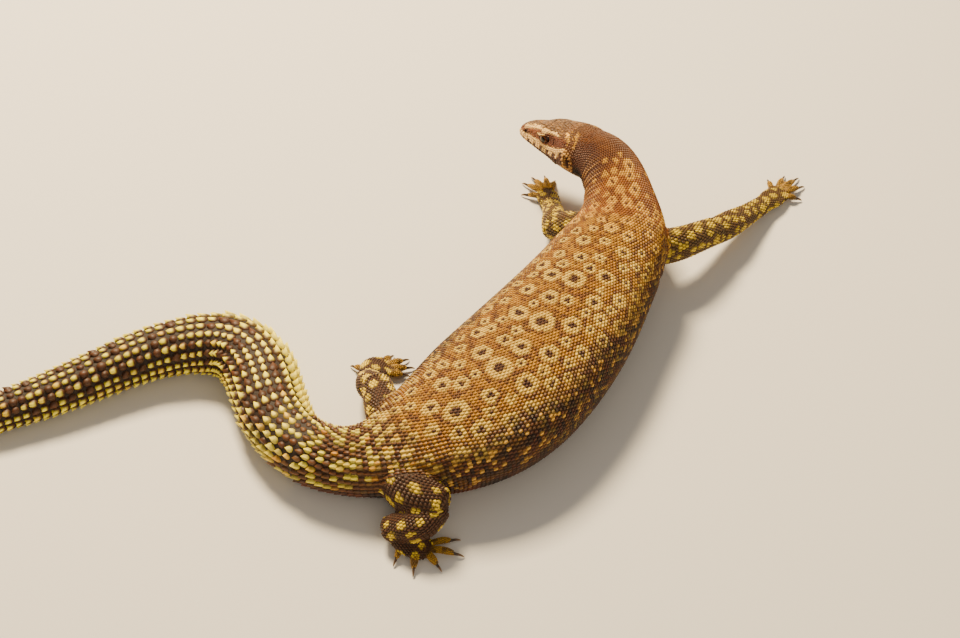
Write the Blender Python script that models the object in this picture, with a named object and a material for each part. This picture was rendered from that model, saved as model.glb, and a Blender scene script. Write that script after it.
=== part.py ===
"""Ridge-tailed monitor lizard, life size, lying belly down with its head turned to the left.

Frame: +Y along the trunk towards the head, +X to the animal's right, +Z up, floor at z = 0,
origin below the middle of the whole. Sizes below are millimetres until they reach a mesh.
"""
import math
import random

import bmesh
import bpy
import numpy as np

MM = 0.001

# Driving dimensions, millimetres and degrees.
GAP = 0.3
MERGE = 0.001
TRUNK_SIDES = 32
LIMB_SIDES = 13
DIGIT_SIDES = 6
HEAD_SIDES = 38
HEAD_LENGTH = 32.4
HEAD_ROLL = 15.0
EYE_RADIUS = 2.8
EYE_FROM_SNOUT = 16.4
EYE_OUT = 5.9
EYE_UP = 3.1
LID_RISE = 0.95
BROW_RISE = 0.55
EAR_FROM_SNOUT = 29.6
EAR_RADIUS = 1.7
NOSTRIL_FROM_SNOUT = 5.2
NOSTRIL_RADIUS = 0.75
NOSTRIL_UP = 1.6
NOSTRIL_OUT = 5.7
EAR_OUT = 11.2
EAR_DOWN = 0.4
EAR_TALL = 1.5
CUP_DEPTH = 2.2
PIT_DEPTH = 1.3
MOUTH_DEPTH = 0.45
MOUTH_FROM_SNOUT = 25.0
MOUTH_FRONT_ANGLE = -14.0
MOUTH_REAR_ANGLE = -24.0
LIP_HEIGHT = 0.5
HEAD_POWER = 2.35
BODY_POWER = 2.2
CANTHUS_RISE = 0.3
RIM_RISE = 0.35
SOCKET_DISH = 0.35
NOSTRIL_RISE = 0.3
JOWL_RISE = 0.5
HEAD_FADE = 3.0
PALM_HEIGHT = 1.7
TRUNK_SPACING = 6.5
LIMB_SPACING = 3.0
NECK_RINGS = 9
WHORL_PITCH = 6.8
WHORL_PITCH_TIP = 5.2
SPINES_ROUND = 12
SPINE_HEIGHT = 2.2
SPINE_HEIGHT_TIP = 0.5
SPINE_PLACE = 0.74
SPINE_LEAN = 0.16
SPINE_BASE = 0.12
SEED = 41

# Stations of head axis, trunk and tail: x, y, z of the centre, half width, half height.
TRUNK = (
    (-63.9, 79.0, 22.5, 9.0, 7.4),
    (-48.0, 79.0, 25.4, 9.6, 7.8),
    (-32.2, 79.0, 28.3, 10.6, 9.3),
    (-25.6, 78.1, 29.1, 11.0, 9.9),
    (-18.4, 74.9, 28.3, 11.8, 10.6),
    (-10.6, 68.9, 25.8, 13.4, 11.8),
    (-2.0, 58.0, 21.8, 18.0, 14.8),
    (3.4, 40.0, 18.6, 21.6, 17.6),
    (7.4, 19.8, 17.6, 24.8, 18.6),
    (10.8, -8.0, 17.2, 27.8, 18.8),
    (10.2, -34.6, 16.4, 27.4, 17.8),
    (2.2, -59.2, 14.2, 19.6, 15.0),
    (-9.2, -74.8, 11.6, 11.9, 11.6),
    (-21.3, -81.0, 10.6, 10.6, 10.6),
    (-33.8, -81.4, 10.5, 10.9, 10.6),
    (-49.0, -75.4, 10.6, 12.0, 10.8),
    (-62.7, -67.2, 10.4, 12.2, 10.7),
    (-77.6, -64.6, 9.8, 11.2, 10.1),
    (-90.6, -73.0, 9.1, 9.8, 9.3),
    (-99.5, -86.0, 8.4, 8.8, 8.6),
    (-106.5, -102.7, 7.6, 8.0, 7.8),
    (-113.3, -119.8, 6.9, 7.3, 7.1),
    (-121.0, -136.4, 6.2, 6.6, 6.4),
    (-131.0, -154.0, 5.4, 5.8, 5.6),
    (-145.0, -171.0, 4.6, 4.9, 4.8),
    (-163.0, -184.0, 3.7, 4.0, 3.9),
    (-184.0, -191.0, 2.8, 3.0, 3.0),
    (-206.0, -192.0, 1.9, 2.0, 2.05),
    (-227.0, -187.0, 0.95, 1.0, 1.05),
)
HEAD_STATION = 2
NECK_CUT = 5.5
TRUNK_CUTS = (7.75, 9.8, 12.1)
TAIL_CUTS = (14.1, 16.2, 18.3, 20.6, 23.0, 25.2)

# Head stations: distance behind the snout, half width, crown above the axis, jaw below it.
HEAD = (
    (0.0, 1.5, 0.5, 1.6),
    (0.5, 2.7, 1.5, 2.3),
    (1.6, 3.9, 2.7, 2.9),
    (3.4, 4.8, 3.7, 3.4),
    (6.5, 5.8, 4.8, 4.2),
    (10.5, 6.8, 5.9, 5.1),
    (14.0, 7.7, 7.1, 5.8),
    (17.0, 8.4, 8.0, 6.3),
    (20.5, 9.3, 8.7, 7.0),
    (24.5, 10.3, 9.3, 7.7),
    (29.0, 10.8, 9.5, 8.5),
    (32.4, 10.6, 9.3, 9.3),
)

# Limb stations: x, y, z, half width, half height. Each first station lies inside its neighbour.
UPPER_ARM_LEFT = (
    (-8.5, 60.0, 17.0, 6.2, 7.4),
    (-16.0, 57.5, 15.8, 5.9, 6.8),
    (-23.5, 55.6, 13.4, 5.4, 5.8),
    (-28.6, 54.6, 11.0, 4.9, 5.1),
)
FOREARM_LEFT = (
    (-28.2, 53.2, 10.4, 4.4, 4.4),
    (-31.2, 57.4, 8.6, 5.0, 4.8),
    (-35.5, 62.5, 6.2, 4.4, 4.2),
    (-41.0, 68.0, 4.1, 3.9, 3.2),
)
HAND_LEFT = (
    (-39.5, 66.8, 4.2, 3.4, 2.9),
    (-43.0, 69.5, 3.4, 4.1, 2.7),
    (-46.2, 71.7, 2.6, 4.3, 2.2),
    (-48.8, 73.1, 1.9, 3.2, 1.5),
)
UPPER_ARM_RIGHT = (
    (7.5, 62.0, 18.0, 6.2, 7.4),
    (13.5, 70.0, 17.0, 5.9, 6.8),
    (16.5, 80.0, 14.8, 5.5, 6.0),
    (18.0, 89.0, 12.2, 5.2, 5.4),
)
FOREARM_RIGHT = (
    (17.6, 86.0, 11.8, 4.6, 4.6),
    (19.0, 97.0, 9.8, 5.3, 5.0),
    (19.6, 108.0, 6.8, 4.4, 4.2),
    (19.8, 118.5, 4.2, 3.9, 3.2),
)
HAND_RIGHT = (
    (19.8, 116.5, 4.4, 3.4, 2.9),
    (20.0, 123.0, 3.5, 4.3, 2.7),
    (20.2, 128.0, 2.7, 4.8, 2.2),
    (20.4, 132.5, 1.9, 3.6, 1.5),
)
THIGH_LEFT = (
    (-3.0, -62.0, 13.5, 7.4, 9.0),
    (-12.0, -57.0, 14.4, 6.8, 8.2),
    (-19.0, -52.0, 15.0, 6.2, 6.8),
    (-24.4, -48.2, 15.0, 5.5, 5.6),
)
SHANK_LEFT = (
    (-22.8, -49.0, 14.6, 4.4, 4.4),
    (-27.4, -47.2, 11.4, 5.5, 5.2),
    (-31.5, -44.5, 8.2, 5.0, 4.8),
    (-34.0, -41.5, 5.2, 4.3, 3.8),
)
FOOT_LEFT = (
    (-33.6, -43.0, 5.2, 3.6, 3.2),
    (-36.2, -38.5, 4.2, 5.0, 3.2),
    (-37.0, -34.5, 3.0, 5.6, 2.5),
    (-36.4, -31.0, 2.0, 4.4, 1.6),
)
THIGH_RIGHT = (
    (2.0, -66.5, 12.5, 9.2, 9.6),
    (10.5, -71.5, 13.0, 9.2, 9.0),
    (18.5, -73.0, 13.4, 8.2, 7.8),
    (24.2, -71.8, 13.2, 6.4, 6.4),
)
SHANK_RIGHT = (
    (24.6, -72.6, 12.4, 5.0, 5.0),
    (22.6, -78.6, 9.8, 6.6, 6.0),
    (17.8, -83.2, 7.2, 5.3, 5.0),
    (14.2, -85.8, 5.4, 4.3, 3.9),
)
FOOT_RIGHT = (
    (15.4, -85.2, 4.8, 3.4, 3.0),
    (20.6, -84.8, 3.8, 4.8, 3.0),
    (25.0, -83.4, 2.8, 5.4, 2.3),
    (28.6, -82.0, 1.9, 4.4, 1.5),
)
LIMBS = {
    "arm_left": (UPPER_ARM_LEFT, FOREARM_LEFT, HAND_LEFT),
    "arm_right": (UPPER_ARM_RIGHT, FOREARM_RIGHT, HAND_RIGHT),
    "leg_left": (THIGH_LEFT, SHANK_LEFT, FOOT_LEFT),
    "leg_right": (THIGH_RIGHT, SHANK_RIGHT, FOOT_RIGHT),
}

# Digits: root x and y inside the palm or sole, claw tip x and y, radius.
DIGITS = {
    "arm_left": (
        (-46.9, 75.2, -50.2, 81.8, 1.1),
        (-47.6, 74.6, -55.4, 81.2, 1.15),
        (-48.0, 73.4, -58.6, 77.2, 1.15),
        (-47.8, 72.0, -59.2, 72.4, 1.15),
        (-46.4, 70.4, -55.4, 67.2, 1.1),
    ),
    "arm_right": (
        (18.2, 129.2, 11.6, 135.2, 1.15),
        (18.8, 130.4, 15.6, 141.4, 1.2),
        (20.0, 131.0, 20.4, 144.0, 1.25),
        (21.2, 130.6, 24.8, 141.4, 1.2),
        (21.8, 129.4, 28.2, 134.6, 1.15),
    ),
    "leg_left": (
        (-33.6, -34.6, -27.0, -28.6, 1.2),
        (-34.4, -33.4, -28.2, -24.6, 1.3),
        (-35.8, -32.8, -32.4, -22.8, 1.35),
        (-37.2, -33.2, -37.8, -25.0, 1.4),
        (-38.6, -38.0, -46.4, -38.8, 1.2),
    ),
    "leg_right": (
        (20.5, -85.0, 23.4, -93.6, 1.2),
        (25.0, -84.0, 31.2, -92.6, 1.4),
        (27.6, -83.0, 37.0, -84.8, 1.35),
        (28.0, -81.8, 38.8, -75.4, 1.3),
        (26.6, -80.6, 33.4, -71.0, 1.2),
    ),
}
DIGIT_LIFT = 1.5

# Linear colours of the dry hide, one per material.
MATERIALS = {
    "back_hide": ((0.42, 0.17, 0.06), 0.55),
    "head_hide": ((0.33, 0.14, 0.07), 0.5),
    "neck_hide": ((0.38, 0.15, 0.06), 0.55),
    "tail_hide": ((0.30, 0.20, 0.09), 0.6),
    "limb_hide": ((0.24, 0.15, 0.06), 0.55),
    "eye_gloss": ((0.02, 0.008, 0.004), 0.08),
}


def natural_curve(knots, rows, at):
    """Values of a natural cubic through the rows at the knots."""
    count = len(knots)
    gap = np.diff(knots)
    matrix = np.zeros((count, count))
    right = np.zeros_like(rows)
    matrix[0, 0] = 1.0
    matrix[-1, -1] = 1.0
    for i in range(1, count - 1):
        matrix[i, i - 1 : i + 2] = gap[i - 1], 2 * (gap[i - 1] + gap[i]), gap[i]
        rise = (rows[i + 1] - rows[i]) / gap[i] - (rows[i] - rows[i - 1]) / gap[i - 1]
        right[i] = 6 * rise
    bend = np.linalg.solve(matrix, right)
    i = np.clip(np.searchsorted(knots, at) - 1, 0, count - 2)
    span = gap[i][:, None]
    after = (at - knots[i])[:, None]
    before = span - after
    cubes = (bend[i] * before**3 + bend[i + 1] * after**3) / (6 * span)
    low = (rows[i] / span - bend[i] * span / 6) * before
    high = (rows[i + 1] / span - bend[i + 1] * span / 6) * after
    return cubes + low + high


class Path:
    """A smooth line through stations, read by the length along it."""

    def __init__(self, stations, dense=900):
        rows = np.array(stations, float)
        steps = np.linalg.norm(np.diff(rows[:, :3], axis=0), axis=1)
        chord = np.concatenate(([0.0], np.cumsum(steps)))
        at = np.linspace(0.0, chord[-1], dense)
        self.data = natural_curve(chord, rows, at)
        steps = np.linalg.norm(np.diff(self.data[:, :3], axis=0), axis=1)
        self.s = np.concatenate(([0.0], np.cumsum(steps)))
        self.knots = np.interp(chord, at, self.s)
        self.length = self.s[-1]
        along = np.gradient(self.data[:, :3], self.s, axis=0)
        self.along = along / np.linalg.norm(along, axis=1)[:, None]
        side = np.cross(self.along, (0.0, 0.0, 1.0))
        self.side = side / np.linalg.norm(side, axis=1)[:, None]
        self.up = np.cross(self.side, self.along)

    def read(self, table, s):
        return np.array([np.interp(s, self.s, column) for column in table.T])

    def station(self, number):
        """Length along the path of a station number, whole or between two."""
        return float(np.interp(number, np.arange(len(self.knots)), self.knots))

    def ring(self, s, sides, grow=0.0, roll=0.0, out=None, back=None):
        """One closed ring of points about the path at s."""
        data = self.read(self.data, s)
        side = self.read(self.side, s)
        up = self.read(self.up, s)
        along = self.read(self.along, s)
        angle = (np.arange(sides) + 0.5) * 2 * math.pi / sides
        cosine = np.cos(angle)
        sine = np.sin(angle)
        size = np.abs(cosine) ** BODY_POWER + np.abs(sine) ** BODY_POWER
        size = size ** (-1 / BODY_POWER)
        push = grow if out is None else grow + out
        across = (data[3] + push) * size * cosine
        rise = (data[4] + push) * size * sine
        turn = math.radians(roll)
        x = across * math.cos(turn) - rise * math.sin(turn)
        y = across * math.sin(turn) + rise * math.cos(turn)
        points = data[:3] + np.outer(x, side) + np.outer(y, up)
        if back is not None:
            points = points + np.outer(back, along)
        points[:, 2] = np.maximum(points[:, 2], -grow)
        return points


def mesh_object(name, rings, material=None):
    """A closed mesh from rings of equal count, each end closed by a fan."""
    mesh = bmesh.new()
    rows = [[mesh.verts.new(point * MM) for point in ring] for ring in rings]
    count = len(rows[0])
    for one, two in zip(rows, rows[1:]):
        for i in range(count):
            j = (i + 1) % count
            mesh.faces.new((one[i], one[j], two[j], two[i]))
    for row, ring in ((rows[0], rings[0]), (rows[-1], rings[-1])):
        middle = mesh.verts.new(ring.mean(axis=0) * MM)
        for i in range(count):
            mesh.faces.new((row[i], row[(i + 1) % count], middle))
    bmesh.ops.recalc_face_normals(mesh, faces=mesh.faces[:])
    bmesh.ops.triangulate(mesh, faces=mesh.faces[:])
    data = bpy.data.meshes.new(name)
    mesh.to_mesh(data)
    mesh.free()
    data.shade_smooth()
    data.set_sharp_from_angle(angle=math.radians(40.0))
    made = bpy.data.objects.new(name, data)
    bpy.context.scene.collection.objects.link(made)
    if material:
        data.materials.append(bpy.data.materials[material])
    return made


def flatten(ring, point, normal):
    """The ring moved along the normal into the plane through the point."""
    normal = normal / np.linalg.norm(normal)
    return ring - np.outer((ring - point) @ normal, normal)


def apply_boolean(target, cutter, operation, solver="EXACT"):
    """Cut or join the target with another object and keep the result in its mesh."""
    step = target.modifiers.new("shape", "BOOLEAN")
    step.operation = operation
    step.solver = solver
    step.object = cutter
    view = bpy.context.evaluated_depsgraph_get()
    made = bpy.data.meshes.new_from_object(target.evaluated_get(view))
    target.modifiers.remove(step)
    old = target.data
    target.data = made
    made.name = target.name
    bpy.data.meshes.remove(old)


def remove(made):
    """Take a helper object and its mesh out of the scene."""
    data = made.data
    bpy.data.objects.remove(made)
    bpy.data.meshes.remove(data)


def keep_largest(made):
    """Keep the one connected surface that spans the most, and clean its faces."""
    mesh = bmesh.new()
    mesh.from_mesh(made.data)
    bmesh.ops.remove_doubles(mesh, verts=mesh.verts[:], dist=MERGE * MM)
    left = set(mesh.verts)
    groups = []
    while left:
        stack = [left.pop()]
        group = []
        while stack:
            vert = stack.pop()
            group.append(vert)
            for edge in vert.link_edges:
                other = edge.other_vert(vert)
                if other in left:
                    left.remove(other)
                    stack.append(other)
        groups.append(group)
    groups.sort(key=len)
    for group in groups[:-1]:
        bmesh.ops.delete(mesh, geom=group, context="VERTS")
    bmesh.ops.dissolve_degenerate(mesh, edges=mesh.edges[:], dist=MERGE * MM)
    bmesh.ops.triangulate(mesh, faces=mesh.faces[:])
    bmesh.ops.recalc_face_normals(mesh, faces=mesh.faces[:])
    mesh.to_mesh(made.data)
    mesh.free()


def ball(name, centre, radii, axes, segments=18, rows=11):
    """A closed ellipsoid with its poles on the third axis."""
    rings = []
    for i in range(rows):
        polar = math.pi * (i + 0.35) / (rows - 0.3)
        angle = np.arange(segments) * 2 * math.pi / segments
        local = np.stack(
            (
                radii[0] * math.sin(polar) * np.cos(angle),
                radii[1] * math.sin(polar) * np.sin(angle),
                np.full(segments, radii[2] * math.cos(polar)),
            ),
            axis=1,
        )
        rings.append(centre + local @ np.array(axes))
    return mesh_object(name, rings)


def bump(distance, width):
    """A soft hill of height one that ends at the width."""
    inside = np.clip(1.0 - (distance / width) ** 2, 0.0, 1.0)
    return inside**2


def head_frame(path):
    """Snout tip and the axes back, left and up of the rolled head."""
    joint = path.read(path.data, path.station(HEAD_STATION))[:3]
    front = path.read(path.data, 0.0)[:3]
    back = joint - front
    back = back / np.linalg.norm(back)
    left = np.cross(back, (0.0, 0.0, -1.0))
    left = left / np.linalg.norm(left)
    left = -left if left[1] > 0 else left
    up = np.cross(left, -back)
    up = up if up[2] > 0 else -up
    turn = math.radians(HEAD_ROLL)
    rolled_left = left * math.cos(turn) + up * math.sin(turn)
    rolled_up = up * math.cos(turn) - left * math.sin(turn)
    return joint - back * HEAD_LENGTH, back, rolled_left, rolled_up


def head_rings(snout, back, left, up):
    """Rings of the head with brow, eyelids, lips, nostrils and the line of the mouth."""
    table = np.array(HEAD, float)
    places = np.concatenate(
        (
            (0.0, 0.5, 1.2, 2.1, 3.1, 4.2, 5.3, 6.6, 8.0, 9.4, 10.8),
            np.arange(12.0, 22.8, 1.0),
            (23.6, 25.0, 26.6, 28.0, 29.4, 30.8, 32.3),
        )
    )
    sizes = natural_curve(table[:, 0], table[:, 1:], places)
    half = HEAD_SIDES // 2
    rings = []
    for u, (width, crown, jaw) in zip(places, sizes):
        open_share = min(1.0, u / MOUTH_FROM_SNOUT)
        mouth = MOUTH_FRONT_ANGLE + (MOUTH_REAR_ANGLE - MOUTH_FRONT_ANGLE) * open_share
        mouth = math.radians(mouth)
        lip = LIP_HEIGHT / max(width, 2.4)
        low = np.linspace(-math.pi / 2, mouth - lip * 2.6, 7)
        close = np.array([mouth - lip, mouth, mouth + lip])
        high = np.linspace(mouth + lip * 2.6, math.pi / 2, half - 9)
        angle = np.concatenate((low, close, high))
        cosine = np.abs(np.cos(angle))
        sine = np.sin(angle)
        size = (cosine**HEAD_POWER + np.abs(sine) ** HEAD_POWER) ** (-1 / HEAD_POWER)
        v = width * size * cosine
        w = np.where(sine > 0, crown, jaw) * size * sine
        out = np.zeros(len(angle))
        brow = bump(u - EYE_FROM_SNOUT + 0.5, 7.0)
        out += BROW_RISE * brow * bump(w - 6.2, 2.2)
        canthus = bump(u - 8.0, 6.5)
        out += CANTHUS_RISE * canthus * bump(w - 0.62 * crown, 1.4)
        reach = np.hypot((u - EYE_FROM_SNOUT) / 1.35, w - EYE_UP)
        out += LID_RISE * bump(reach - 2.75, 1.3)
        out -= SOCKET_DISH * bump(reach, 2.2)
        out += RIM_RISE * bump(np.hypot(u - EAR_FROM_SNOUT, w + EAR_DOWN) - 2.4, 1.2)
        snare = np.hypot(u - NOSTRIL_FROM_SNOUT, w - NOSTRIL_UP)
        out += NOSTRIL_RISE * bump(snare, 1.9)
        if 0.4 < u < MOUTH_FROM_SNOUT:
            out[8] -= MOUTH_DEPTH
            out[[7, 9]] += 0.12
            out[10] += 0.15
        jowl = bump(u - 25.0, 7.0)
        out += JOWL_RISE * jowl * bump(w + 2.6, 3.0)
        fade = min(1.0, max(0.0, (places[-1] - u) / HEAD_FADE))
        normal = np.stack((cosine / width, sine / np.where(sine > 0, crown, jaw)), axis=1)
        normal = normal / np.linalg.norm(normal, axis=1)[:, None]
        v = v + normal[:, 0] * out * fade
        w = w + normal[:, 1] * out * fade
        v[0] = 0.0
        v[-1] = 0.0
        v_all = np.concatenate((v, -v[-2:0:-1]))
        w_all = np.concatenate((w, w[-2:0:-1]))
        centre = snout + back * u
        rings.append(centre + np.outer(v_all, left) + np.outer(w_all, up))
    return rings


def tube_rings(stations, sides, grow=0.0):
    """Rings of a limb length, rounded at both ends."""
    path = Path(stations)
    count = max(4, int(round(path.length / LIMB_SPACING)))
    start = path.read(path.along, 0.0)
    finish = path.read(path.along, path.length)
    rings = []
    first = path.ring(0.0, sides, grow)
    last = path.ring(path.length, sides, grow)
    nose = 0.55 * path.read(path.data, path.length)[4] + grow
    heel = 0.55 * path.read(path.data, 0.0)[4] + grow
    for reach in (1.0, 0.72):
        small = math.sqrt(1.0 - (reach * 0.94) ** 2)
        ring = first.mean(axis=0) + (first - first.mean(axis=0)) * small - start * heel * reach
        rings.append(ring)
    for s in np.linspace(0.0, path.length, count):
        rings.append(path.ring(s, sides, grow))
    for reach in (0.72, 1.0):
        small = math.sqrt(1.0 - (reach * 0.94) ** 2)
        ring = last.mean(axis=0) + (last - last.mean(axis=0)) * small + finish * nose * reach
        rings.append(ring)
    for ring in rings:
        ring[:, 2] = np.maximum(ring[:, 2], -grow)
    return rings


def digit_rings(row, sides):
    """One finger or toe with its curved claw, arched between the root and the floor."""
    root = np.array((row[0], row[1], PALM_HEIGHT))
    tip = np.array((row[2], row[3], 0.35))
    radius = row[4]
    flat = tip - root
    flat[2] = 0.0
    flat = flat / np.linalg.norm(flat)
    length = np.linalg.norm(tip[:2] - root[:2])
    across = np.array((-flat[1], flat[0], 0.0))
    shape = (
        (0.0, 0.0, 0.95),
        (0.3, 0.65, 1.0),
        (0.58, 0.55, 0.95),
        (0.7, 0.35, 0.75),
        (0.73, 0.4, 0.5),
        (0.86, 0.42, 0.4),
        (1.0, 0.0, 0.14),
    )
    rings = []
    for share, lift, size in shape:
        height = root[2] * (1 - share) + max(radius * size, 0.35) * share + lift * DIGIT_LIFT
        centre = root + flat * length * share
        centre[2] = height
        angle = np.arange(sides) * 2 * math.pi / sides + 0.4
        ring = centre + np.outer(np.cos(angle) * radius * size, across)
        ring[:, 2] += np.sin(angle) * radius * size
        ring[:, 2] = np.maximum(ring[:, 2], 0.0)
        rings.append(ring)
    return rings


def neck_roll(path, s):
    """Roll of the ring about the path, full at the head and gone at the shoulder."""
    start = path.station(HEAD_STATION)
    finish = path.station(NECK_CUT)
    share = min(1.0, max(0.0, (finish - s) / (finish - start)))
    return HEAD_ROLL * share * share * (3 - 2 * share)


def trunk_length(path, name, start, finish, material, grow=0.0):
    """A plain length of neck or trunk between two places on the path."""
    count = max(2, int(round((finish - start) / TRUNK_SPACING)) + 1)
    rings = []
    for s in np.linspace(start, finish, count):
        rings.append(path.ring(s, TRUNK_SIDES, grow, neck_roll(path, s)))
    return mesh_object(name, rings, material)


def whorl_starts(path, start, finish):
    """Places of the tail whorls, closer together towards the tip."""
    places = [start]
    total = finish - start
    while places[-1] < finish - 2.0:
        share = (places[-1] - start) / total
        places.append(places[-1] + WHORL_PITCH + (WHORL_PITCH_TIP - WHORL_PITCH) * share)
    return np.array(places)


def tail_length(path, name, places, first, last, total, material, shape):
    """A length of tail from one whorl to another, with a raised spine at every second point."""
    sides = SPINES_ROUND * 2
    rings = []
    begin, finish = total
    for number in range(first, last):
        here = places[number]
        pitch = places[number + 1] - here
        share = (here - begin) / (finish - begin)
        height = SPINE_HEIGHT + (SPINE_HEIGHT_TIP - SPINE_HEIGHT) * share**0.8
        height = height * min(1.0, (number + 1.5) / 4.0)
        start = here + GAP / 2 if number == first else here
        rings.append(path.ring(start, sides))
        angle = (np.arange(sides) + 0.5) * 2 * math.pi / sides
        spine = (np.arange(sides) % 2 == number % 2).astype(float)
        upper = np.clip((np.sin(angle) + 0.62) / 0.4, 0.0, 1.0)
        vary = np.array([shape.uniform(0.82, 1.12) for _ in range(sides)])
        out = height * (SPINE_BASE * (1 - spine) + spine * vary) * upper
        back = spine * upper * pitch * SPINE_LEAN
        rings.append(path.ring(here + pitch * SPINE_PLACE, sides, 0.0, 0.0, out, back))
    if last == len(places) - 1:
        end = places[last]
        rings.append(path.ring(end, sides))
        tip = path.ring(path.length, sides)
        rings.append(tip)
        rings.append(tip.mean(axis=0) + (tip - tip.mean(axis=0)) * 0.45)
    else:
        rings.append(path.ring(places[last] - GAP / 2, sides))
    return mesh_object(name, rings, material)


def build():
    """Every sub-part of the animal in its place."""
    shape = random.Random(SEED)
    for made in list(bpy.data.objects):
        bpy.data.objects.remove(made)
    for name, (colour, rough) in MATERIALS.items():
        material = bpy.data.materials.new(name)
        material.use_nodes = True
        surface = material.node_tree.nodes["Principled BSDF"]
        surface.inputs["Base Color"].default_value = (*colour, 1.0)
        surface.inputs["Roughness"].default_value = rough

    path = Path(TRUNK, 3000)
    parts = []
    snout, back, left, up = head_frame(path)

    head = mesh_object("head", head_rings(snout, back, left, up), "head_hide")
    eye_material = bpy.data.materials["eye_gloss"]
    for name, hand in (("eye_left", 1.0), ("eye_right", -1.0)):
        centre = snout + back * EYE_FROM_SNOUT + left * hand * EYE_OUT + up * EYE_UP
        axes = (back, up, left * hand)
        socket = EYE_RADIUS + GAP
        cutter = ball("socket", centre, (socket, socket, socket), axes, 18, 10)
        apply_boolean(head, cutter, "DIFFERENCE")
        remove(cutter)
        eye = ball(name, centre, (EYE_RADIUS, EYE_RADIUS, EYE_RADIUS), axes, 16, 9)
        eye.data.materials.append(eye_material)
        parts.append(eye)
        ear = snout + back * EAR_FROM_SNOUT + left * hand * EAR_OUT - up * EAR_DOWN
        cup = (EAR_RADIUS, EAR_RADIUS * EAR_TALL, CUP_DEPTH)
        cutter = ball("ear_cup", ear, cup, axes, 12, 8)
        apply_boolean(head, cutter, "DIFFERENCE")
        remove(cutter)
        pit = snout + back * NOSTRIL_FROM_SNOUT + left * hand * NOSTRIL_OUT + up * NOSTRIL_UP
        wide = NOSTRIL_RADIUS
        cutter = ball("nostril", pit, (wide * 1.2, wide, PIT_DEPTH), axes, 8, 6)
        apply_boolean(head, cutter, "DIFFERENCE")
        remove(cutter)
    keep_largest(head)
    parts.append(head)

    joint = path.station(HEAD_STATION)
    neck_end = path.station(NECK_CUT)
    rings = []
    for s in np.linspace(joint, neck_end - GAP / 2, NECK_RINGS):
        rings.append(path.ring(s, TRUNK_SIDES, 0.0, neck_roll(path, s)))
    rings[0] = flatten(rings[0], snout + back * (HEAD_LENGTH + GAP * 0.7), back)
    parts.append(mesh_object("neck", rings, "neck_hide"))

    cuts = [neck_end] + [path.station(number) for number in TRUNK_CUTS]
    for name, start, finish in zip(("torso_front", "torso_middle", "torso_rear"), cuts, cuts[1:]):
        made = trunk_length(path, name, start + GAP / 2, finish - GAP / 2, "back_hide")
        parts.append(made)

    places = whorl_starts(path, cuts[-1], path.length)
    last = len(places) - 2
    marks = [0]
    for number in TAIL_CUTS:
        marks.append(int(np.argmin(np.abs(places - path.station(number)))))
    marks.append(last)
    total = (places[0], places[last])
    for number, (one, two) in enumerate(zip(marks, marks[1:])):
        name = "tail_%d" % (number + 1)
        keep = places[: last + 1]
        parts.append(tail_length(path, name, keep, one, two, total, "tail_hide", shape))

    core = trunk_length(path, "core", path.station(3), path.station(14.5), None, GAP)
    names = {
        "arm_left": ("upper_arm_left", "forearm_left", "hand_left"),
        "arm_right": ("upper_arm_right", "forearm_right", "hand_right"),
        "leg_left": ("thigh_left", "shank_left", "foot_left"),
        "leg_right": ("thigh_right", "shank_right", "foot_right"),
    }
    for limb, lengths in LIMBS.items():
        cutters = [core]
        for name, stations in zip(names[limb], lengths):
            made = mesh_object(name, tube_rings(stations, LIMB_SIDES), "limb_hide")
            if stations is lengths[2]:
                for row in DIGITS[limb]:
                    digit = mesh_object("digit", digit_rings(row, DIGIT_SIDES))
                    apply_boolean(made, digit, "UNION")
                    remove(digit)
            for cutter in cutters:
                apply_boolean(made, cutter, "DIFFERENCE")
            keep_largest(made)
            parts.append(made)
            if stations is not lengths[2]:
                grown = mesh_object("grown", tube_rings(stations, LIMB_SIDES, GAP))
                cutters.append(grown)
        for cutter in cutters[1:]:
            remove(cutter)
    remove(core)

    corners = np.array([vert.co for made in parts for vert in made.data.vertices])
    low = corners.min(axis=0)
    high = corners.max(axis=0)
    shift = np.array([(low[0] + high[0]) / 2, (low[1] + high[1]) / 2, 0.0])
    for made in parts:
        for vert in made.data.vertices:
            vert.co = np.array(vert.co) - shift
        made.data.update()


build()
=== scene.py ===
"""A ridge-tailed monitor lizard at rest, life size: skin, scales, spines, eyes and claws.

Sizes are millimetres in the body's own frame until placed() turns them into metres of the part's
frame: +Y along the trunk towards the head, +X to the animal's right, +Z up, floor at zero.
"""

import itertools
import math
import random

import bmesh
import bpy
import numpy as np
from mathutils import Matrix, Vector, noise
from mathutils.bvhtree import BVHTree
from mathutils.kdtree import KDTree


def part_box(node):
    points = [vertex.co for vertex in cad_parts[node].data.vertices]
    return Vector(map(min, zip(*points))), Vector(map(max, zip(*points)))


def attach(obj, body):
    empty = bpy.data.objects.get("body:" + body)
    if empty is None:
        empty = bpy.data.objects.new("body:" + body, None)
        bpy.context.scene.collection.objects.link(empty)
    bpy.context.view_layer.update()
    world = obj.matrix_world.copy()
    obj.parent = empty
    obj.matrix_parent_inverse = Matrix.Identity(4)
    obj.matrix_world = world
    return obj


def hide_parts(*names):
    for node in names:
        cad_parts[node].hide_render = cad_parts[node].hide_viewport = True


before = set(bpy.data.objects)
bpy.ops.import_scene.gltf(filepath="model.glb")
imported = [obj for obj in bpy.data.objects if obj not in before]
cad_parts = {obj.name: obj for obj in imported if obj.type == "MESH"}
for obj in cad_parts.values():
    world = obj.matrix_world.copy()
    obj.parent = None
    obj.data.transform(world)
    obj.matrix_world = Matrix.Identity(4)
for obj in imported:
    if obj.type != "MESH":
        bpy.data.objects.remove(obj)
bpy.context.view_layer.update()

MM = 0.001

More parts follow.
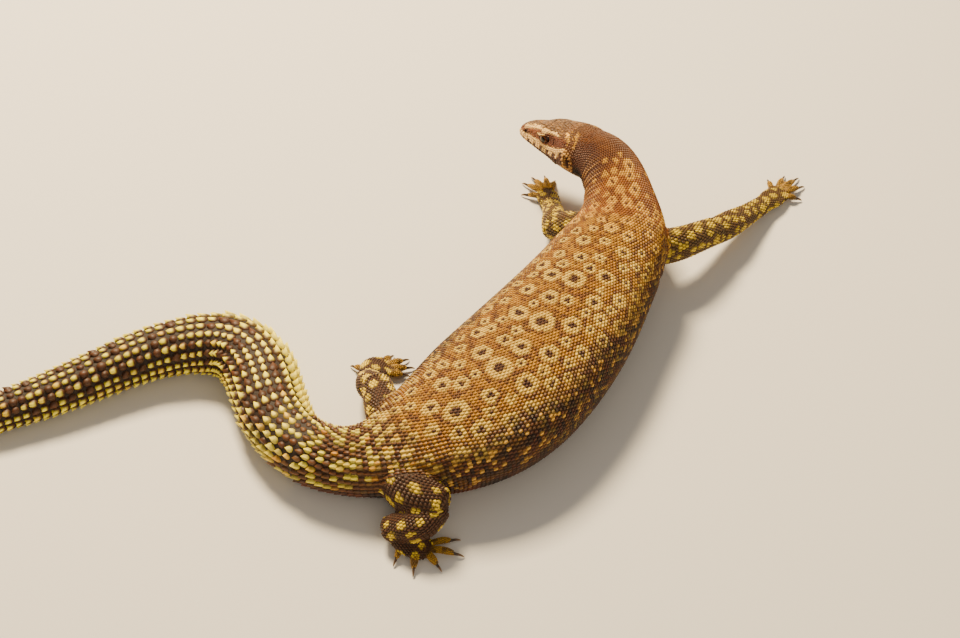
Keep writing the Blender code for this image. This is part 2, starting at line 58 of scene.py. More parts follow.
# The solids' own driving values, millimetres and degrees.
HEAD_LENGTH = 32.4
HEAD_ROLL = 15.0
EYE_RADIUS = 2.8
EYE_FROM_SNOUT = 16.4
EYE_OUT = 5.9
EYE_UP = 3.1
BROW_RISE = 0.55
LID_HALF_LENGTH = 2.6
LID_ABOVE = 1.45
LID_BELOW = 1.3
NAPE_LENGTH = 6.0
EAR_FROM_SNOUT = 29.6
EAR_RADIUS = 1.7
EAR_DOWN = 0.8
NOSTRIL_FROM_SNOUT = 5.2
NOSTRIL_RADIUS = 0.75
NOSTRIL_UP = 1.6
MOUTH_FROM_SNOUT = 25.0
DIGIT_LIFT = 1.5
CREASE_PITCH = 2.3
# Stations of the trunk at which the head joins, the roll of the neck has gone and the tail begins.
HEAD_STATION = 2
NECK_CUT = 5.5
TAIL_START = 12.1

# The ear opening: half width and half height in its radii, and its lean.
EAR_WIDE = 0.68
EAR_TALL = 1.3
EAR_LEAN = 0.25
# Bulge of the clear front of the eye, in its radii.
CORNEA = 0.035
# Lengths along the body of the folds at throat, shoulder and hip, and of the first ring of spines.
THROAT_AT = 50.0
SHOULDER_AT = 82.0
HIP_AT = 206.0
WHORLS_FROM = 231.0
# Stations of head axis, trunk and tail: x, y, z of the centre, half width, half height.
TRUNK = (
    (-63.9, 79.0, 22.5, 9.0, 7.4),
    (-48.0, 79.0, 25.4, 9.6, 7.8),
    (-32.2, 79.0, 28.3, 10.6, 9.3),
    (-25.6, 78.1, 29.1, 11.0, 9.9),
    (-18.4, 74.9, 28.3, 11.8, 10.6),
    (-10.6, 68.9, 25.8, 13.4, 11.8),
    (-2.0, 58.0, 21.8, 18.0, 14.8),
    (3.4, 40.0, 18.6, 21.6, 17.6),
    (7.4, 19.8, 17.6, 24.8, 18.6),
    (10.8, -8.0, 17.2, 27.8, 18.8),
    (10.2, -34.6, 16.4, 27.4, 17.8),
    (2.2, -59.2, 14.2, 19.6, 15.0),
    (-9.2, -74.8, 11.6, 11.9, 11.6),
    (-21.3, -81.0, 10.6, 10.6, 10.6),
    (-33.8, -81.4, 10.5, 10.9, 10.6),
    (-49.0, -75.4, 10.6, 12.0, 10.8),
    (-62.7, -67.2, 10.4, 12.2, 10.7),
    (-77.6, -64.6, 9.8, 11.2, 10.1),
    (-90.6, -73.0, 9.1, 9.8, 9.3),
    (-99.5, -86.0, 8.4, 8.8, 8.6),
    (-106.5, -102.7, 7.6, 8.0, 7.8),
    (-113.3, -119.8, 6.9, 7.3, 7.1),
    (-121.0, -136.4, 6.2, 6.6, 6.4),
    (-131.0, -154.0, 5.4, 5.8, 5.6),
    (-145.0, -171.0, 4.6, 4.9, 4.8),
    (-163.0, -184.0, 3.7, 4.0, 3.9),
    (-184.0, -191.0, 2.8, 3.0, 3.0),
    (-206.0, -192.0, 1.9, 2.0, 2.05),
    (-227.0, -187.0, 0.95, 1.0, 1.05),
)

# Head stations: distance behind the snout, half width, crown above the axis, jaw below it.
HEAD = (
    (0.0, 1.5, 0.5, 1.6),
    (0.5, 2.7, 1.5, 2.3),
    (1.6, 3.9, 2.7, 2.9),
    (3.4, 4.8, 3.7, 3.4),
    (6.5, 5.8, 4.8, 4.2),
    (10.5, 6.8, 5.9, 5.1),
    (14.0, 7.7, 7.1, 5.8),
    (17.0, 8.4, 8.0, 6.3),
    (20.5, 9.3, 8.7, 7.0),
    (24.5, 10.3, 9.3, 7.7),
    (29.0, 10.8, 9.5, 8.5),
    (32.4, 10.6, 9.3, 9.3),
)

# Limb stations: x, y, z, half width, half height. Each first station lies inside its neighbour.
LIMBS = {
    "arm_left": (
        ((-8.5, 60.0, 17.0, 6.2, 7.4), (-16.0, 57.5, 15.8, 5.9, 6.8),
         (-23.5, 55.6, 13.4, 5.4, 5.8), (-28.6, 54.6, 11.0, 4.9, 5.1)),
        ((-28.2, 53.2, 10.4, 4.4, 4.4), (-31.2, 57.4, 8.6, 5.0, 4.8),
         (-35.5, 62.5, 6.2, 4.4, 4.2), (-41.0, 68.0, 4.1, 3.9, 3.2)),
        ((-39.5, 66.8, 4.2, 3.4, 2.9), (-43.0, 69.5, 3.4, 4.1, 2.7),
         (-46.2, 71.7, 2.6, 4.3, 2.2), (-48.8, 73.1, 1.9, 3.2, 1.5)),
    ),
    "arm_right": (
        ((7.5, 62.0, 18.0, 6.2, 7.4), (13.5, 70.0, 17.0, 5.9, 6.8),
         (16.5, 80.0, 14.8, 5.5, 6.0), (18.0, 89.0, 12.2, 5.2, 5.4)),
        ((17.6, 86.0, 11.8, 4.6, 4.6), (19.0, 97.0, 9.8, 5.3, 5.0),
         (19.6, 108.0, 6.8, 4.4, 4.2), (19.8, 118.5, 4.2, 3.9, 3.2)),
        ((19.8, 116.5, 4.4, 3.4, 2.9), (20.0, 123.0, 3.5, 4.3, 2.7),
         (20.2, 128.0, 2.7, 4.8, 2.2), (20.4, 132.5, 1.9, 3.6, 1.5)),
    ),
    "leg_left": (
        ((-3.0, -62.0, 13.5, 7.4, 9.0), (-12.0, -57.0, 14.4, 6.8, 8.2),
         (-19.0, -52.0, 15.0, 6.2, 6.8), (-24.4, -48.2, 15.0, 5.5, 5.6)),
        ((-22.8, -49.0, 14.6, 4.4, 4.4), (-27.4, -47.2, 11.4, 5.5, 5.2),
         (-31.5, -44.5, 8.2, 5.0, 4.8), (-34.0, -41.5, 5.2, 4.3, 3.8)),
        ((-33.6, -43.0, 5.2, 3.6, 3.2), (-36.2, -38.5, 4.2, 5.0, 3.2),
         (-37.0, -34.5, 3.0, 5.6, 2.5), (-36.4, -31.0, 2.0, 4.4, 1.6)),
    ),
    "leg_right": (
        ((2.0, -66.5, 12.5, 9.2, 9.6), (10.5, -71.5, 13.0, 9.2, 9.0),
         (18.5, -73.0, 13.4, 8.2, 7.8), (24.2, -71.8, 13.2, 6.4, 6.4)),
        ((24.6, -72.6, 12.4, 5.0, 5.0), (22.6, -78.6, 9.8, 6.6, 6.0),
         (17.8, -83.2, 7.2, 5.3, 5.0), (14.2, -85.8, 5.4, 4.3, 3.9)),
        ((15.4, -85.2, 4.8, 3.4, 3.0), (20.6, -84.8, 3.8, 4.8, 3.0),
         (25.0, -83.4, 2.8, 5.4, 2.3), (28.6, -82.0, 1.9, 4.4, 1.5)),
    ),
}

# Digits: root x and y inside the palm or sole, claw tip x and y, radius.
DIGITS = {
    "arm_left": (
        (-46.9, 75.2, -50.2, 81.8, 1.1),
        (-47.6, 74.6, -55.4, 81.2, 1.15),
        (-48.0, 73.4, -58.6, 77.2, 1.15),
        (-47.8, 72.0, -59.2, 72.4, 1.15),
        (-46.4, 70.4, -55.4, 67.2, 1.1),
    ),
    "arm_right": (
        (18.2, 129.2, 11.6, 135.2, 1.15),
        (18.8, 130.4, 15.6, 141.4, 1.2),
        (20.0, 131.0, 20.4, 144.0, 1.25),
        (21.2, 130.6, 24.8, 141.4, 1.2),
        (21.8, 129.4, 28.2, 134.6, 1.15),
    ),
    "leg_left": (
        (-33.6, -34.6, -27.0, -28.6, 1.2),
        (-34.4, -33.4, -28.2, -24.6, 1.3),
        (-35.8, -32.8, -32.4, -22.8, 1.35),
        (-37.2, -33.2, -37.8, -25.0, 1.4),
        (-38.6, -38.0, -46.4, -38.8, 1.2),
    ),
    "leg_right": (
        (20.5, -85.0, 23.4, -93.6, 1.2),
        (25.0, -84.0, 31.2, -92.6, 1.4),
        (27.6, -83.0, 37.0, -84.8, 1.35),
        (28.0, -81.8, 38.8, -75.4, 1.3),
        (26.6, -80.6, 33.4, -71.0, 1.2),
    ),
}
# Stations of a digit: share of the way to its claw's tip, share of its lift and of its radius.
DIGIT_SHAPE = (
    (0.0, 0.0, 0.95), (0.3, 0.65, 1.0), (0.58, 0.55, 0.95), (0.7, 0.35, 0.75),
    (0.73, 0.4, 0.5), (0.86, 0.42, 0.4), (1.0, 0.0, 0.14),
)
DIGIT_ROOT_HEIGHT = 1.7
CLAW_TIP_HEIGHT = 0.35

# Depth of the coat over the skin in each region, and the grain of the skin's own mesh.
COAT = {"trunk": 0.45, "tail": 0.25, "limb": 0.35, "digit": 0.2, "head": 0.28}
SKIN_GRAIN = 0.65
# Points round one ring of each shell, eye, claw and scale, and rings along eye and claw.
TRUNK_SIDES = 90
LIMB_SIDES = 48
DIGIT_SIDES = 16
HEAD_SIDES = 176
EYE_SIDES = 40
EYE_RINGS = 28
CLAW_SIDES = 10
CLAW_RINGS = 11
SCALE_SIDES = 8

# Scale widths on upper limb, lower limb and hand or foot, on the digits, and of the grains that
# fill bare spots. Heights are shares of the width.
LIMB_PITCH = (1.25, 1.1, 0.92)
LIMB_RISE = 0.26
DIGIT_PITCH = 0.68
DIGIT_RISE = 0.24
GRAIN_WIDTH = 0.52
GRAIN_RISE = 0.3
# How near two scales may stand, in their mean size.
RIM_CROWDS = (0.55, 0.7, 0.7, 0.75)
PLATE_CROWD = 0.74
HIDE_CROWD = 0.72
GRAIN_CROWD = 0.75
# How far the head reaches from its axis, and a girth for plates that are set one by one.
HEAD_REACH = 14.0
PLATE_GIRTH = 50.0
# Lengths along the body at which the coat of neck and back is cut into pieces.
BACK_CUTS = (0.0, 108.0, 145.0, 182.0, 300.0)
# Least height of the coat over the floor, metres.
FLOOR_GAP = 0.00005

# Marks read from the photograph: length along the body, arc from the midline (right is
# positive), radius. Rings on the back have a dark heart, those on the rump and some on the neck none.
RINGS = (
    (74, 4, 2.3), (77, -5, 1.8), (80, 0, 2.6), (81, 7, 2.5), (88, 1, 2.1), (89, 9, 2.8),
    (91, -6, 2.8), (97, 3, 2.3), (100, -3, 2.5), (101, -11, 2.3), (104, 9, 3.3), (111, 0, 4.0),
    (113, -8, 3.3), (116, 11, 2.9), (121, 3, 2.5), (123, -12, 2.8), (123, -3, 3.2),
    (129, 10, 3.3), (131, -17, 2.2), (134, 1, 4.4), (135, 19, 2.9), (135, -8, 3.6),
    (143, 11, 3.3), (145, 21, 2.0), (146, -12, 2.3), (147, 2, 3.3), (148, -4.5, 2.7),
    (150, -15, 2.9), (155, 24, 2.2), (156, 13, 3.6), (157, -7, 3.6), (158, 2, 4.5),
    (159, 32, 2.2), (160, -15, 2.2), (166, -9, 2.2), (167, 19, 2.5), (167, 8, 2.8),
    (167, 28, 2.5), (170, -14, 2.5), (171, -2, 2.8), (174, 27, 2.2), (175, 16, 2.9),
    (176, -6, 3.1), (178, 6, 4.0), (181, 13, 2.3), (183, 20, 2.5), (184, 0, 2.9),
    (186, -11, 2.2), (187, 8, 2.3), (193.5, 7.3, 2.2), (193.8, 1.6, 2.0), (194, -6.3, 2.2),
)
NECK_RINGS = (
    (49.5, 3.2, 2.1), (53.5, 2.9, 1.9), (55.5, -3.7, 1.8), (59.3, 4.5, 2.1), (64.6, -3.6, 1.9),
    (65.6, 1.8, 1.9), (69.1, -4.2, 1.7), (66.7, 6.8, 1.7), (72.0, -9.5, 1.6),
)
NECK_SPOTS = (
    (45.3, 1.0, 0.8), (47.2, -1.6, 1.0), (46.0, -5.5, 0.9), (51.1, -2.9, 1.3), (51.6, -6.4, 1.2),
    (52.4, -0.3, 1.0), (59.3, -1.0, 1.8), (61.3, -5.9, 1.2), (62.8, 0.4, 1.0), (58.2, -9.7, 1.1),
)
RUMP_SPOTS = (
    (190.9, -1.7, 2.0), (196.6, -13.9, 1.9), (197.8, 4.6, 1.5), (196.0, 10.5, 1.7),
    (198.4, 0.4, 1.8), (199.0, -6.5, 2.6), (202.7, -2.2, 1.6), (202.6, 2.8, 1.5),
    (201.4, 7.9, 1.8), (201.4, 13.1, 1.7), (205.2, -6.6, 2.2), (206.9, 0.6, 1.8),
    (205.8, 9.9, 2.1), (206.4, 5.2, 1.3), (207.6, 15.3, 1.5), (210.9, -3.6, 1.7),
    (211.2, 3.4, 1.5), (211.4, 8.6, 2.1), (212.6, 13.7, 1.4), (215.6, 0.0, 1.9),
    (216.4, 5.0, 1.2), (216.6, 9.3, 1.9), (217.0, 14.8, 1.4), (216.0, -5.0, 1.9),
)

# Cream stripes of the face: distance behind the snout and height above the axis of the head.
BROW_LINE = ((4.0, 3.1), (7.6, 4.0), (11.1, 4.8), (15.4, 5.9), (19.8, 6.3), (23.0, 6.4))
SPUR_LINE = ((12.3, 3.3), (14.5, 4.4), (16.5, 5.1))
LIP_LINE = (
    (1.0, 0.0), (4.8, 0.4), (8.2, 0.6), (12.1, 0.5), (14.4, 0.9), (18.0, 0.4), (22.0, 1.0),
    (24.4, 1.5), (27.6, 3.0),
)
# Pale strokes of the temple: the same two places, half length, half width and lean.
TEMPLE_STROKES = (
    (26.6, 7.6, 1.2, 0.5, -0.5), (28.2, 6.0, 1.3, 0.5, -1.2), (30.0, 7.5, 0.9, 0.6, 0.0),
    (31.4, 5.6, 1.6, 0.5, -1.35), (28.6, 2.4, 1.2, 0.5, -1.3), (27.4, -3.6, 1.1, 0.5, 0.5),
)
# Seed of the differences in size between scales, and of the rings thrown in on the back.
SEED = 41


def linear(code):
    """Linear colour from a hex sRGB code."""
    values = [int(code[i : i + 2], 16) / 255 for i in (1, 3, 5)]
    return np.array([v / 12.92 if v < 0.04045 else ((v + 0.055) / 1.055) ** 2.4 for v in values])


COLOURS = {
    "back": "#AC6A04",
    "back_light": "#D09408",
    "net": "#5E2C0A",
    "cream": "#FFD254",
    "ring_heart": "#481E0C",
    # Flanks: dark brown, partly their own colour and partly painted shade of the lower sides.
    "flank": "#2A1206",
    # Pale single scales on the flanks, partly their own colour and partly painted glints on their keels.
    "flank_speck_and_glint": "#F4B848",
    # Belly edge and underside of the tail: painted shade, dark brown warming to rust towards the rump.
    "belly": "#6A2E08",
    "belly_painted_shade": "#140904",
    "rump": "#684010",
    "rump_yellow": "#FFEA4A",
    "tail": "#4E2C0C",
    "tail_yellow": "#FFEC3C",
    "tail_orange": "#ECA020",
    "leg": "#4A2A0C",
    "leg_yellow": "#FFDA30",
    "arm": "#5E420C",
    "arm_yellow": "#ECC81C",
    "digit": "#BC8C20",
    "nape": "#80480A",
    "neck_side": "#5A2A10",
    # Painted highlight on the crests of the neck's creases.
    "fold_painted_highlight": "#C88C3C",
    "neck": "#A86004",
    "neck_cream": "#FFBC38",
    "crown": "#5E3A0C",
    "crown_light": "#946420",
    "crown_dark": "#4A240A",
    "face_cream": "#F6C878",
    "face_dark": "#4E240C",
    "eye_streak": "#5C2808",
    "cheek": "#783A08",
    "throat": "#B0803A",
    "ear": "#D8A458",
    # Dark front and sides of the tail's spines, partly their own colour and partly painted shade.
    "spine_side": "#4A280C",
    "pupil": "#0B0504",
    "iris": "#3C1A0A",
    "iris_gold": "#7A4418",
    "eye_rim": "#160904",
    "claw_root": "#2A170C",
    "claw_tip": "#7E5A34",
    "floor": "#EDE8DF",
}
PAINT = {name: linear(code) for name, code in COLOURS.items()}


def natural_curve(knots, rows, at):
    """Values of a natural cubic through the rows at the knots."""
    count = len(knots)
    gap = np.diff(knots)
    matrix = np.zeros((count, count))
    right = np.zeros_like(rows)
    matrix[0, 0] = 1.0
    matrix[-1, -1] = 1.0
    for i in range(1, count - 1):
        matrix[i, i - 1 : i + 2] = gap[i - 1], 2 * (gap[i - 1] + gap[i]), gap[i]
        rise = (rows[i + 1] - rows[i]) / gap[i] - (rows[i] - rows[i - 1]) / gap[i - 1]
        right[i] = 6 * rise
    bend = np.linalg.solve(matrix, right)
    i = np.clip(np.searchsorted(knots, at) - 1, 0, count - 2)
    span = gap[i][:, None]
    after = (at - knots[i])[:, None]
    before = span - after
    cubes = (bend[i] * before**3 + bend[i + 1] * after**3) / (6 * span)
    low = (rows[i] / span - bend[i] * span / 6) * before
    high = (rows[i + 1] / span - bend[i + 1] * span / 6) * after
    return cubes + low + high


def smooth(value, low, high):
    """Soft step from 0 at low to 1 at high."""
    share = np.clip((value - low) / (high - low), 0.0, 1.0)
    return share * share * (3 - 2 * share)


def hill(distance, width):
    """A soft hill of height one that ends at the width."""
    inside = np.clip(1.0 - (distance / width) ** 2, 0.0, 1.0)
    return inside**2


def mix(one, two, share):
    """Colours between two, row by row."""
    share = np.asarray(share)[..., None]
    return one * (1 - share) + two * share


def clouds(points, scale, seed=0.0):
    """Soft noise from -1 to 1 at points in millimetres."""
    return np.array([noise.noise(Vector((p[0] / scale + seed, p[1] / scale, p[2] / scale)))
                     for p in points])


def jitter(count, seed):
    """Random shares from 0 to 1, the same ones for the same seed."""
    return np.random.default_rng(seed).random(count)


def around(sides):
    """Angles round a ring, the first one half a step on."""
    return (np.arange(sides) + 0.5) * 2 * math.pi / sides


def rounded(angle, power):
    """Radius at an angle of an outline between circle and square, one at its middles."""
    return (np.abs(np.cos(angle)) ** power + np.abs(np.sin(angle)) ** power) ** (-1 / power)


class Tube:
    """A round length through stations, with rounded ends, read by length and angle."""

    power = 2.2
    # Reach of a rounded end in half heights, and how far it closes.
    cap = 0.55
    closing = 0.94

    def __init__(self, name, stations, coat, dense=900, capped=True):
        rows = np.array(stations, float)
        steps = np.linalg.norm(np.diff(rows[:, :3], axis=0), axis=1)
        chord = np.concatenate(([0.0], np.cumsum(steps)))
        at = np.linspace(0.0, chord[-1], dense)
        self.name = name
        self.coat = coat
        self.capped = capped
        self.roll = None
        self.fold = None
        self.data = natural_curve(chord, rows, at)
        steps = np.linalg.norm(np.diff(self.data[:, :3], axis=0), axis=1)
        self.s = np.concatenate(([0.0], np.cumsum(steps)))
        self.knots = np.interp(chord, at, self.s)
        self.length = self.s[-1]
        along = np.gradient(self.data[:, :3], self.s, axis=0)
        self.along = along / np.linalg.norm(along, axis=1)[:, None]
        side = np.cross(self.along, (0.0, 0.0, 1.0))
        self.side = side / np.linalg.norm(side, axis=1)[:, None]
        self.up = np.cross(self.side, self.along)
        self.nose = self.cap * self.data[-1, 4]
        self.heel = self.cap * self.data[0, 4]

    def read(self, table, s):
        return np.stack([np.interp(s, self.s, column) for column in table.T], axis=-1)

    def station(self, number):
        return float(np.interp(number, np.arange(len(self.knots)), self.knots))

    def middle(self, s):
        return self.read(self.data, s)[..., :3]

    def surface(self, s, angle, grow=None):
        """Points at lengths s and angles, 0 to the left and a quarter turn up."""
        s = np.asarray(s, float)
        grow = -self.coat if grow is None else grow
        data = self.read(self.data, s)
        side = self.read(self.side, s)
        up = self.read(self.up, s)
        size = rounded(angle, self.power)
        push = grow if self.fold is None else grow + self.fold(s, angle)
        across = (data[..., 3] + push) * size * np.cos(angle)
        rise = (data[..., 4] + push) * size * np.sin(angle)
        if self.roll is not None:
            turn = np.radians(self.roll(s))
            turned = across * np.cos(turn) - rise * np.sin(turn)
            rise = across * np.sin(turn) + rise * np.cos(turn)
            across = turned
        offset = side * across[..., None] + up * rise[..., None]
        points = data[..., :3]
        if self.capped:
            late = np.clip((s - self.length) / (self.nose + grow), 0.0, 1.0)
            early = np.clip(-s / (self.heel + grow), 0.0, 1.0)
            small = np.sqrt(1.0 - (self.closing * (late + early)) ** 2)
            offset = offset * small[..., None]
            shift = late * (self.nose + grow) - early * (self.heel + grow)
            points = points + self.read(self.along, s) * shift[..., None]
        points = points + offset
        points[..., 2] = np.maximum(points[..., 2], -grow)
        return points


def head_frame(path):
    """Snout tip and the axes back, left and up of the rolled head."""
    joint = path.read(path.data, path.station(HEAD_STATION))[:3]
    front = path.read(path.data, 0.0)[:3]
    back = joint - front
    back = back / np.linalg.norm(back)
    left = np.cross(back, (0.0, 0.0, -1.0))
    left = left / np.linalg.norm(left)
    left = -left if left[1] > 0 else left
    up = np.cross(left, -back)
    up = up if up[2] > 0 else -up
    turn = math.radians(HEAD_ROLL)
    rolled_left = left * math.cos(turn) + up * math.sin(turn)
    rolled_up = up * math.cos(turn) - left * math.sin(turn)
    return joint - back * HEAD_LENGTH, back, rolled_left, rolled_up


def ear_reach(u, w):
    """Distance from the middle of the ear opening in its own half sizes."""
    along = u - EAR_FROM_SNOUT + EAR_LEAN * (w + EAR_DOWN)
    return np.hypot(along / (EAR_RADIUS * EAR_WIDE), (w + EAR_DOWN) / (EAR_RADIUS * EAR_TALL))


def nostril_reach(u, w):
    """Distance from the middle of the nostril in its own radii, a quarter longer than high."""
    return np.hypot((u - NOSTRIL_FROM_SNOUT) / 1.25, w - NOSTRIL_UP) / NOSTRIL_RADIUS


def neck_roll(s):
    """Roll of the neck about its line, full at the head and gone at the shoulder."""
    return HEAD_ROLL * smooth(NECK_END - s, 0.0, NECK_END - JOINT)


def neck_crease(s, angle):
    """Wave of the narrow creases on the inner side of the bent neck, and where they reach."""
    left = smooth(np.cos(angle + 0.25), 0.25, 0.8)
    reach = smooth(s, JOINT + 7.0, JOINT + 13.0) * (1 - smooth(s, 60.0, 70.0))
    return np.cos(s * 2 * math.pi / CREASE_PITCH + np.sin(angle * 3) * 0.9), left * reach


def hip_crease(s, angle):
    """Groove between the hip and the root of the tail, both sides of the midline."""
    half = np.abs(angle - math.pi / 2)
    half = np.minimum(half, 2 * math.pi - half)
    middle = 0.36 + 0.012 * (s - HIP_AT)
    return hill(s - HIP_AT, 11.0) * hill(half - middle, 0.13)


def trunk_fold(s, angle):
    """Creases across the inner side of the bent neck, at the throat, the shoulder and the hip."""
    wave, reach = neck_crease(s, angle)
    crease = -0.34 * (0.5 - 0.5 * wave) * reach
    low = np.clip(-np.sin(angle), 0.0, 1.0)
    gular = -0.8 * hill(s - THROAT_AT, 3.0) * np.clip(low * 1.6, 0.0, 1.0)
    arm = -0.5 * hill(s - SHOULDER_AT, 2.2) * hill(np.sin(angle) + 0.1, 0.8)
    return crease + gular + arm - 0.4 * hip_crease(s, angle)


trunk = Tube("trunk", TRUNK, COAT["trunk"], 3000, capped=False)
JOINT = trunk.station(HEAD_STATION)
NECK_END = trunk.station(NECK_CUT)
TAIL_FROM = trunk.station(TAIL_START)
trunk.roll = neck_roll
trunk.fold = trunk_fold
snout, head_back, head_left, head_up = head_frame(trunk)
# The body's frame is set against the part's by the middle of the left eye's box.
eye_low, eye_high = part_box("eye_left")
eye_middle = (np.array(eye_low) + np.array(eye_high)) / 2 / MM
eye_planned = snout + head_back * EYE_FROM_SNOUT + head_left * EYE_OUT + head_up * EYE_UP
SHIFT = eye_middle - eye_planned
SHIFT[2] = 0.0


def placed(points):
    """Body points in millimetres as metres in the part's frame."""
    return (np.asarray(points) + SHIFT) * MM


class Head:
    """The head's surface, read by distance behind the snout and angle."""

    power = 2.35

    def __init__(self):
        rows = np.array(HEAD, float)
        self.at = np.linspace(0.0, HEAD_LENGTH, 400)
        self.sizes = natural_curve(rows[:, 0], rows[:, 1:], self.at)

    def middle(self, u):
        return snout + np.asarray(u)[..., None] * head_back

    def mouth(self, u):
        """Angle of the line of the mouth below the side, radians."""
        share = np.minimum(np.asarray(u) / MOUTH_FROM_SNOUT, 1.0)
        return np.radians(-14.0 - 10.0 * share)

    def plain(self, u, angle):
        """Left and up of the head before its details, its outward direction and its crown."""
        width, crown, jaw = (np.interp(u, self.at, column) for column in self.sizes.T)
        cosine = np.cos(angle)
        sine = np.sin(angle)
        size = rounded(angle, self.power)
        tall = np.where(sine > 0, crown, jaw)
        normal = np.stack((cosine / width, sine / tall), axis=-1)
        normal = normal / np.linalg.norm(normal, axis=-1)[..., None]
        return width * size * cosine, tall * size * sine, normal, crown

    def local(self, u, angle):
        """Left and up of the finished surface."""
        u = np.asarray(u, float)
        v, w, normal, crown = self.plain(u, angle)
        # Brow over the eye, and the edge that runs on from it to the nostril.
        out = BROW_RISE * hill(u - EYE_FROM_SNOUT + 0.5, 7.0) * hill(w - 6.2, 2.2)
        out = out + 0.3 * hill(u - 8.0, 6.5) * hill(w - 0.62 * crown, 1.4)
        # Groove of the mouth with a lip above it and one below.
        lean = np.arctan2(np.sin(angle), np.abs(np.cos(angle)))
        gape = (lean - self.mouth(u)) * np.hypot(v, w)
        lips = smooth(u, 0.2, 1.2) * (1 - smooth(u, MOUTH_FROM_SNOUT - 1.5, MOUTH_FROM_SNOUT))
        out = out - lips * 0.62 * np.exp(-((gape / 0.34) ** 2))
        out = out + lips * 0.2 * (hill(gape - 0.95, 0.9) + 0.8 * hill(gape + 0.95, 0.9))
        # Ear and nostril, each sunk inside a low rim.
        ear = ear_reach(u, w)
        out = out - 1.9 * smooth(-ear, -1.0, -0.45) + 0.4 * hill(ear - 1.35, 0.5)
        pit = nostril_reach(u, w)
        out = out + 0.32 * hill(pit - 1.3, 1.3) - 0.95 * smooth(-pit, -1.0, -0.3)
        # Muscle of the jaw, and the hollow of the temple above it.
        out = out + 0.5 * hill(u - 25.0, 7.0) * hill(w + 2.6, 3.0)
        out = out - 0.35 * hill(u - 21.0, 5.0) * hill(w - 3.4, 2.4)
        push = out * np.clip((HEAD_LENGTH - u) / 3.0, 0.0, 1.0) - COAT["head"]
        v = v + normal[..., 0] * push
        w = w + normal[..., 1] * push
        # Lids lie on the ball of the eye, and inside their almond opening the skin drops behind it.
        reach = np.hypot(u - EYE_FROM_SNOUT, w - EYE_UP)
        shell = EYE_RADIUS + 0.35
        ball = EYE_OUT + np.sqrt(np.clip(shell**2 - reach**2, 0.0, None))
        lidded = np.maximum(np.abs(v), ball) - 1.7 * smooth(-self.almond(u, w), -1.06, -0.9)
        v = np.sign(np.cos(angle)) * np.where(reach < shell * 0.97, lidded, np.abs(v))
        return v, w

    def lid_line(self, u):
        """Height of the middle of the opening between the lids, rising to the rear."""
        return EYE_UP + 0.1 + 0.1 * (u - EYE_FROM_SNOUT)

    def almond(self, u, w):
        """Below one inside the opening between the lids."""
        lift = self.lid_line(u)
        half = np.where(w > lift, LID_ABOVE, LID_BELOW)
        return np.sqrt(((u - EYE_FROM_SNOUT) / LID_HALF_LENGTH) ** 2 + ((w - lift) / half) ** 2)

    def surface(self, u, angle):
        v, w = self.local(u, angle)
        return self.middle(u) + v[..., None] * head_left + w[..., None] * head_up


head = Head()


def head_parts(points):
    """Distance behind the snout, left and up of points."""
    away = points - snout
    return away @ head_back, away @ head_left, away @ head_up


def digit_tube(name, row):
    """The fleshy part of a finger or toe as a tube, and its claw as stations."""
    root = np.array((row[0], row[1], DIGIT_ROOT_HEIGHT))
    tip = np.array((row[2], row[3], CLAW_TIP_HEIGHT))
    flat = tip - root
    flat[2] = 0.0
    stations = []
    for share, lift, size in DIGIT_SHAPE:
        centre = root + flat * share
        least = max(row[4] * size, CLAW_TIP_HEIGHT)
        centre[2] = root[2] * (1 - share) + least * share + lift * DIGIT_LIFT
        stations.append((*centre, row[4] * size, row[4] * size))
    # The flesh ends half way between its last joint and the root of the claw.
    last = np.array(stations[4]) * 0.5 + np.array(stations[3]) * 0.5
    flesh = stations[:3] + [tuple(last)]
    tube = Tube(name, flesh, COAT["digit"], 120)
    tube.power = 2.0
    claw = [stations[2]] + stations[4:]
    return tube, claw


limb_tubes = []
digit_tubes = []
claws = []
for limb, lengths in LIMBS.items():
    for number, stations in enumerate(lengths):
        tube = Tube(limb + "_%d" % number, stations, COAT["limb"])
        tube.limb = limb
        limb_tubes.append(tube)
    for number, row in enumerate(DIGITS[limb]):
        tube, claw = digit_tube(limb + "_digit_%d" % number, row)
        tube.limb = limb
        digit_tubes.append(tube)
        claws.append(claw)


def new_object(name, data):
    made = bpy.data.objects.new(name, data)
    bpy.context.scene.collection.objects.link(made)
    return made


def add_rings(mesh, rings, ends=None):
    """Join equal rings into a closed skin inside a bmesh, by their middles or the given ends."""
    rows = [[mesh.verts.new(point) for point in ring] for ring in rings]
    ends = ends or (np.mean(rings[0], axis=0), np.mean(rings[-1], axis=0))
    count = len(rows[0])
    for one, two in zip(rows, rows[1:]):
        for i in range(count):
            j = (i + 1) % count
            mesh.faces.new((one[i], one[j], two[j], two[i]))
    for row, end in zip((rows[0], rows[-1]), ends):
        middle = mesh.verts.new(end)
        for i in range(count):
            mesh.faces.new((row[i], row[(i + 1) % count], middle))


def mesh_data(mesh, name):
    """Mesh data from a bmesh, with its faces turned outwards."""
    bmesh.ops.recalc_face_normals(mesh, faces=mesh.faces[:])
    data = bpy.data.meshes.new(name)
    mesh.to_mesh(data)
    mesh.free()
    return data


def freeze(made):
    """Turn an object with modifiers into plain mesh."""
    view = bpy.context.evaluated_depsgraph_get()
    data = bpy.data.meshes.new_from_object(made.evaluated_get(view))
    made.modifiers.clear()
    old = made.data
    made.data = data
    bpy.data.meshes.remove(old)
    data.name = made.name


def corners(data, key="co"):
    """A vector of each vertex of the mesh, its place unless told otherwise."""
    flat = np.zeros(len(data.vertices) * 3)
    data.vertices.foreach_get(key, flat)
    return flat.reshape(-1, 3)


def move_corners(data, points):
    data.vertices.foreach_set("co", points.ravel())
    data.update()


def attribute(data, name, kind, values):
    made = data.attributes.new(name, kind, "POINT")
    key = "color" if kind == "FLOAT_COLOR" else "vector"
    made.data.foreach_set(key, np.ascontiguousarray(values, dtype=np.float32).ravel())


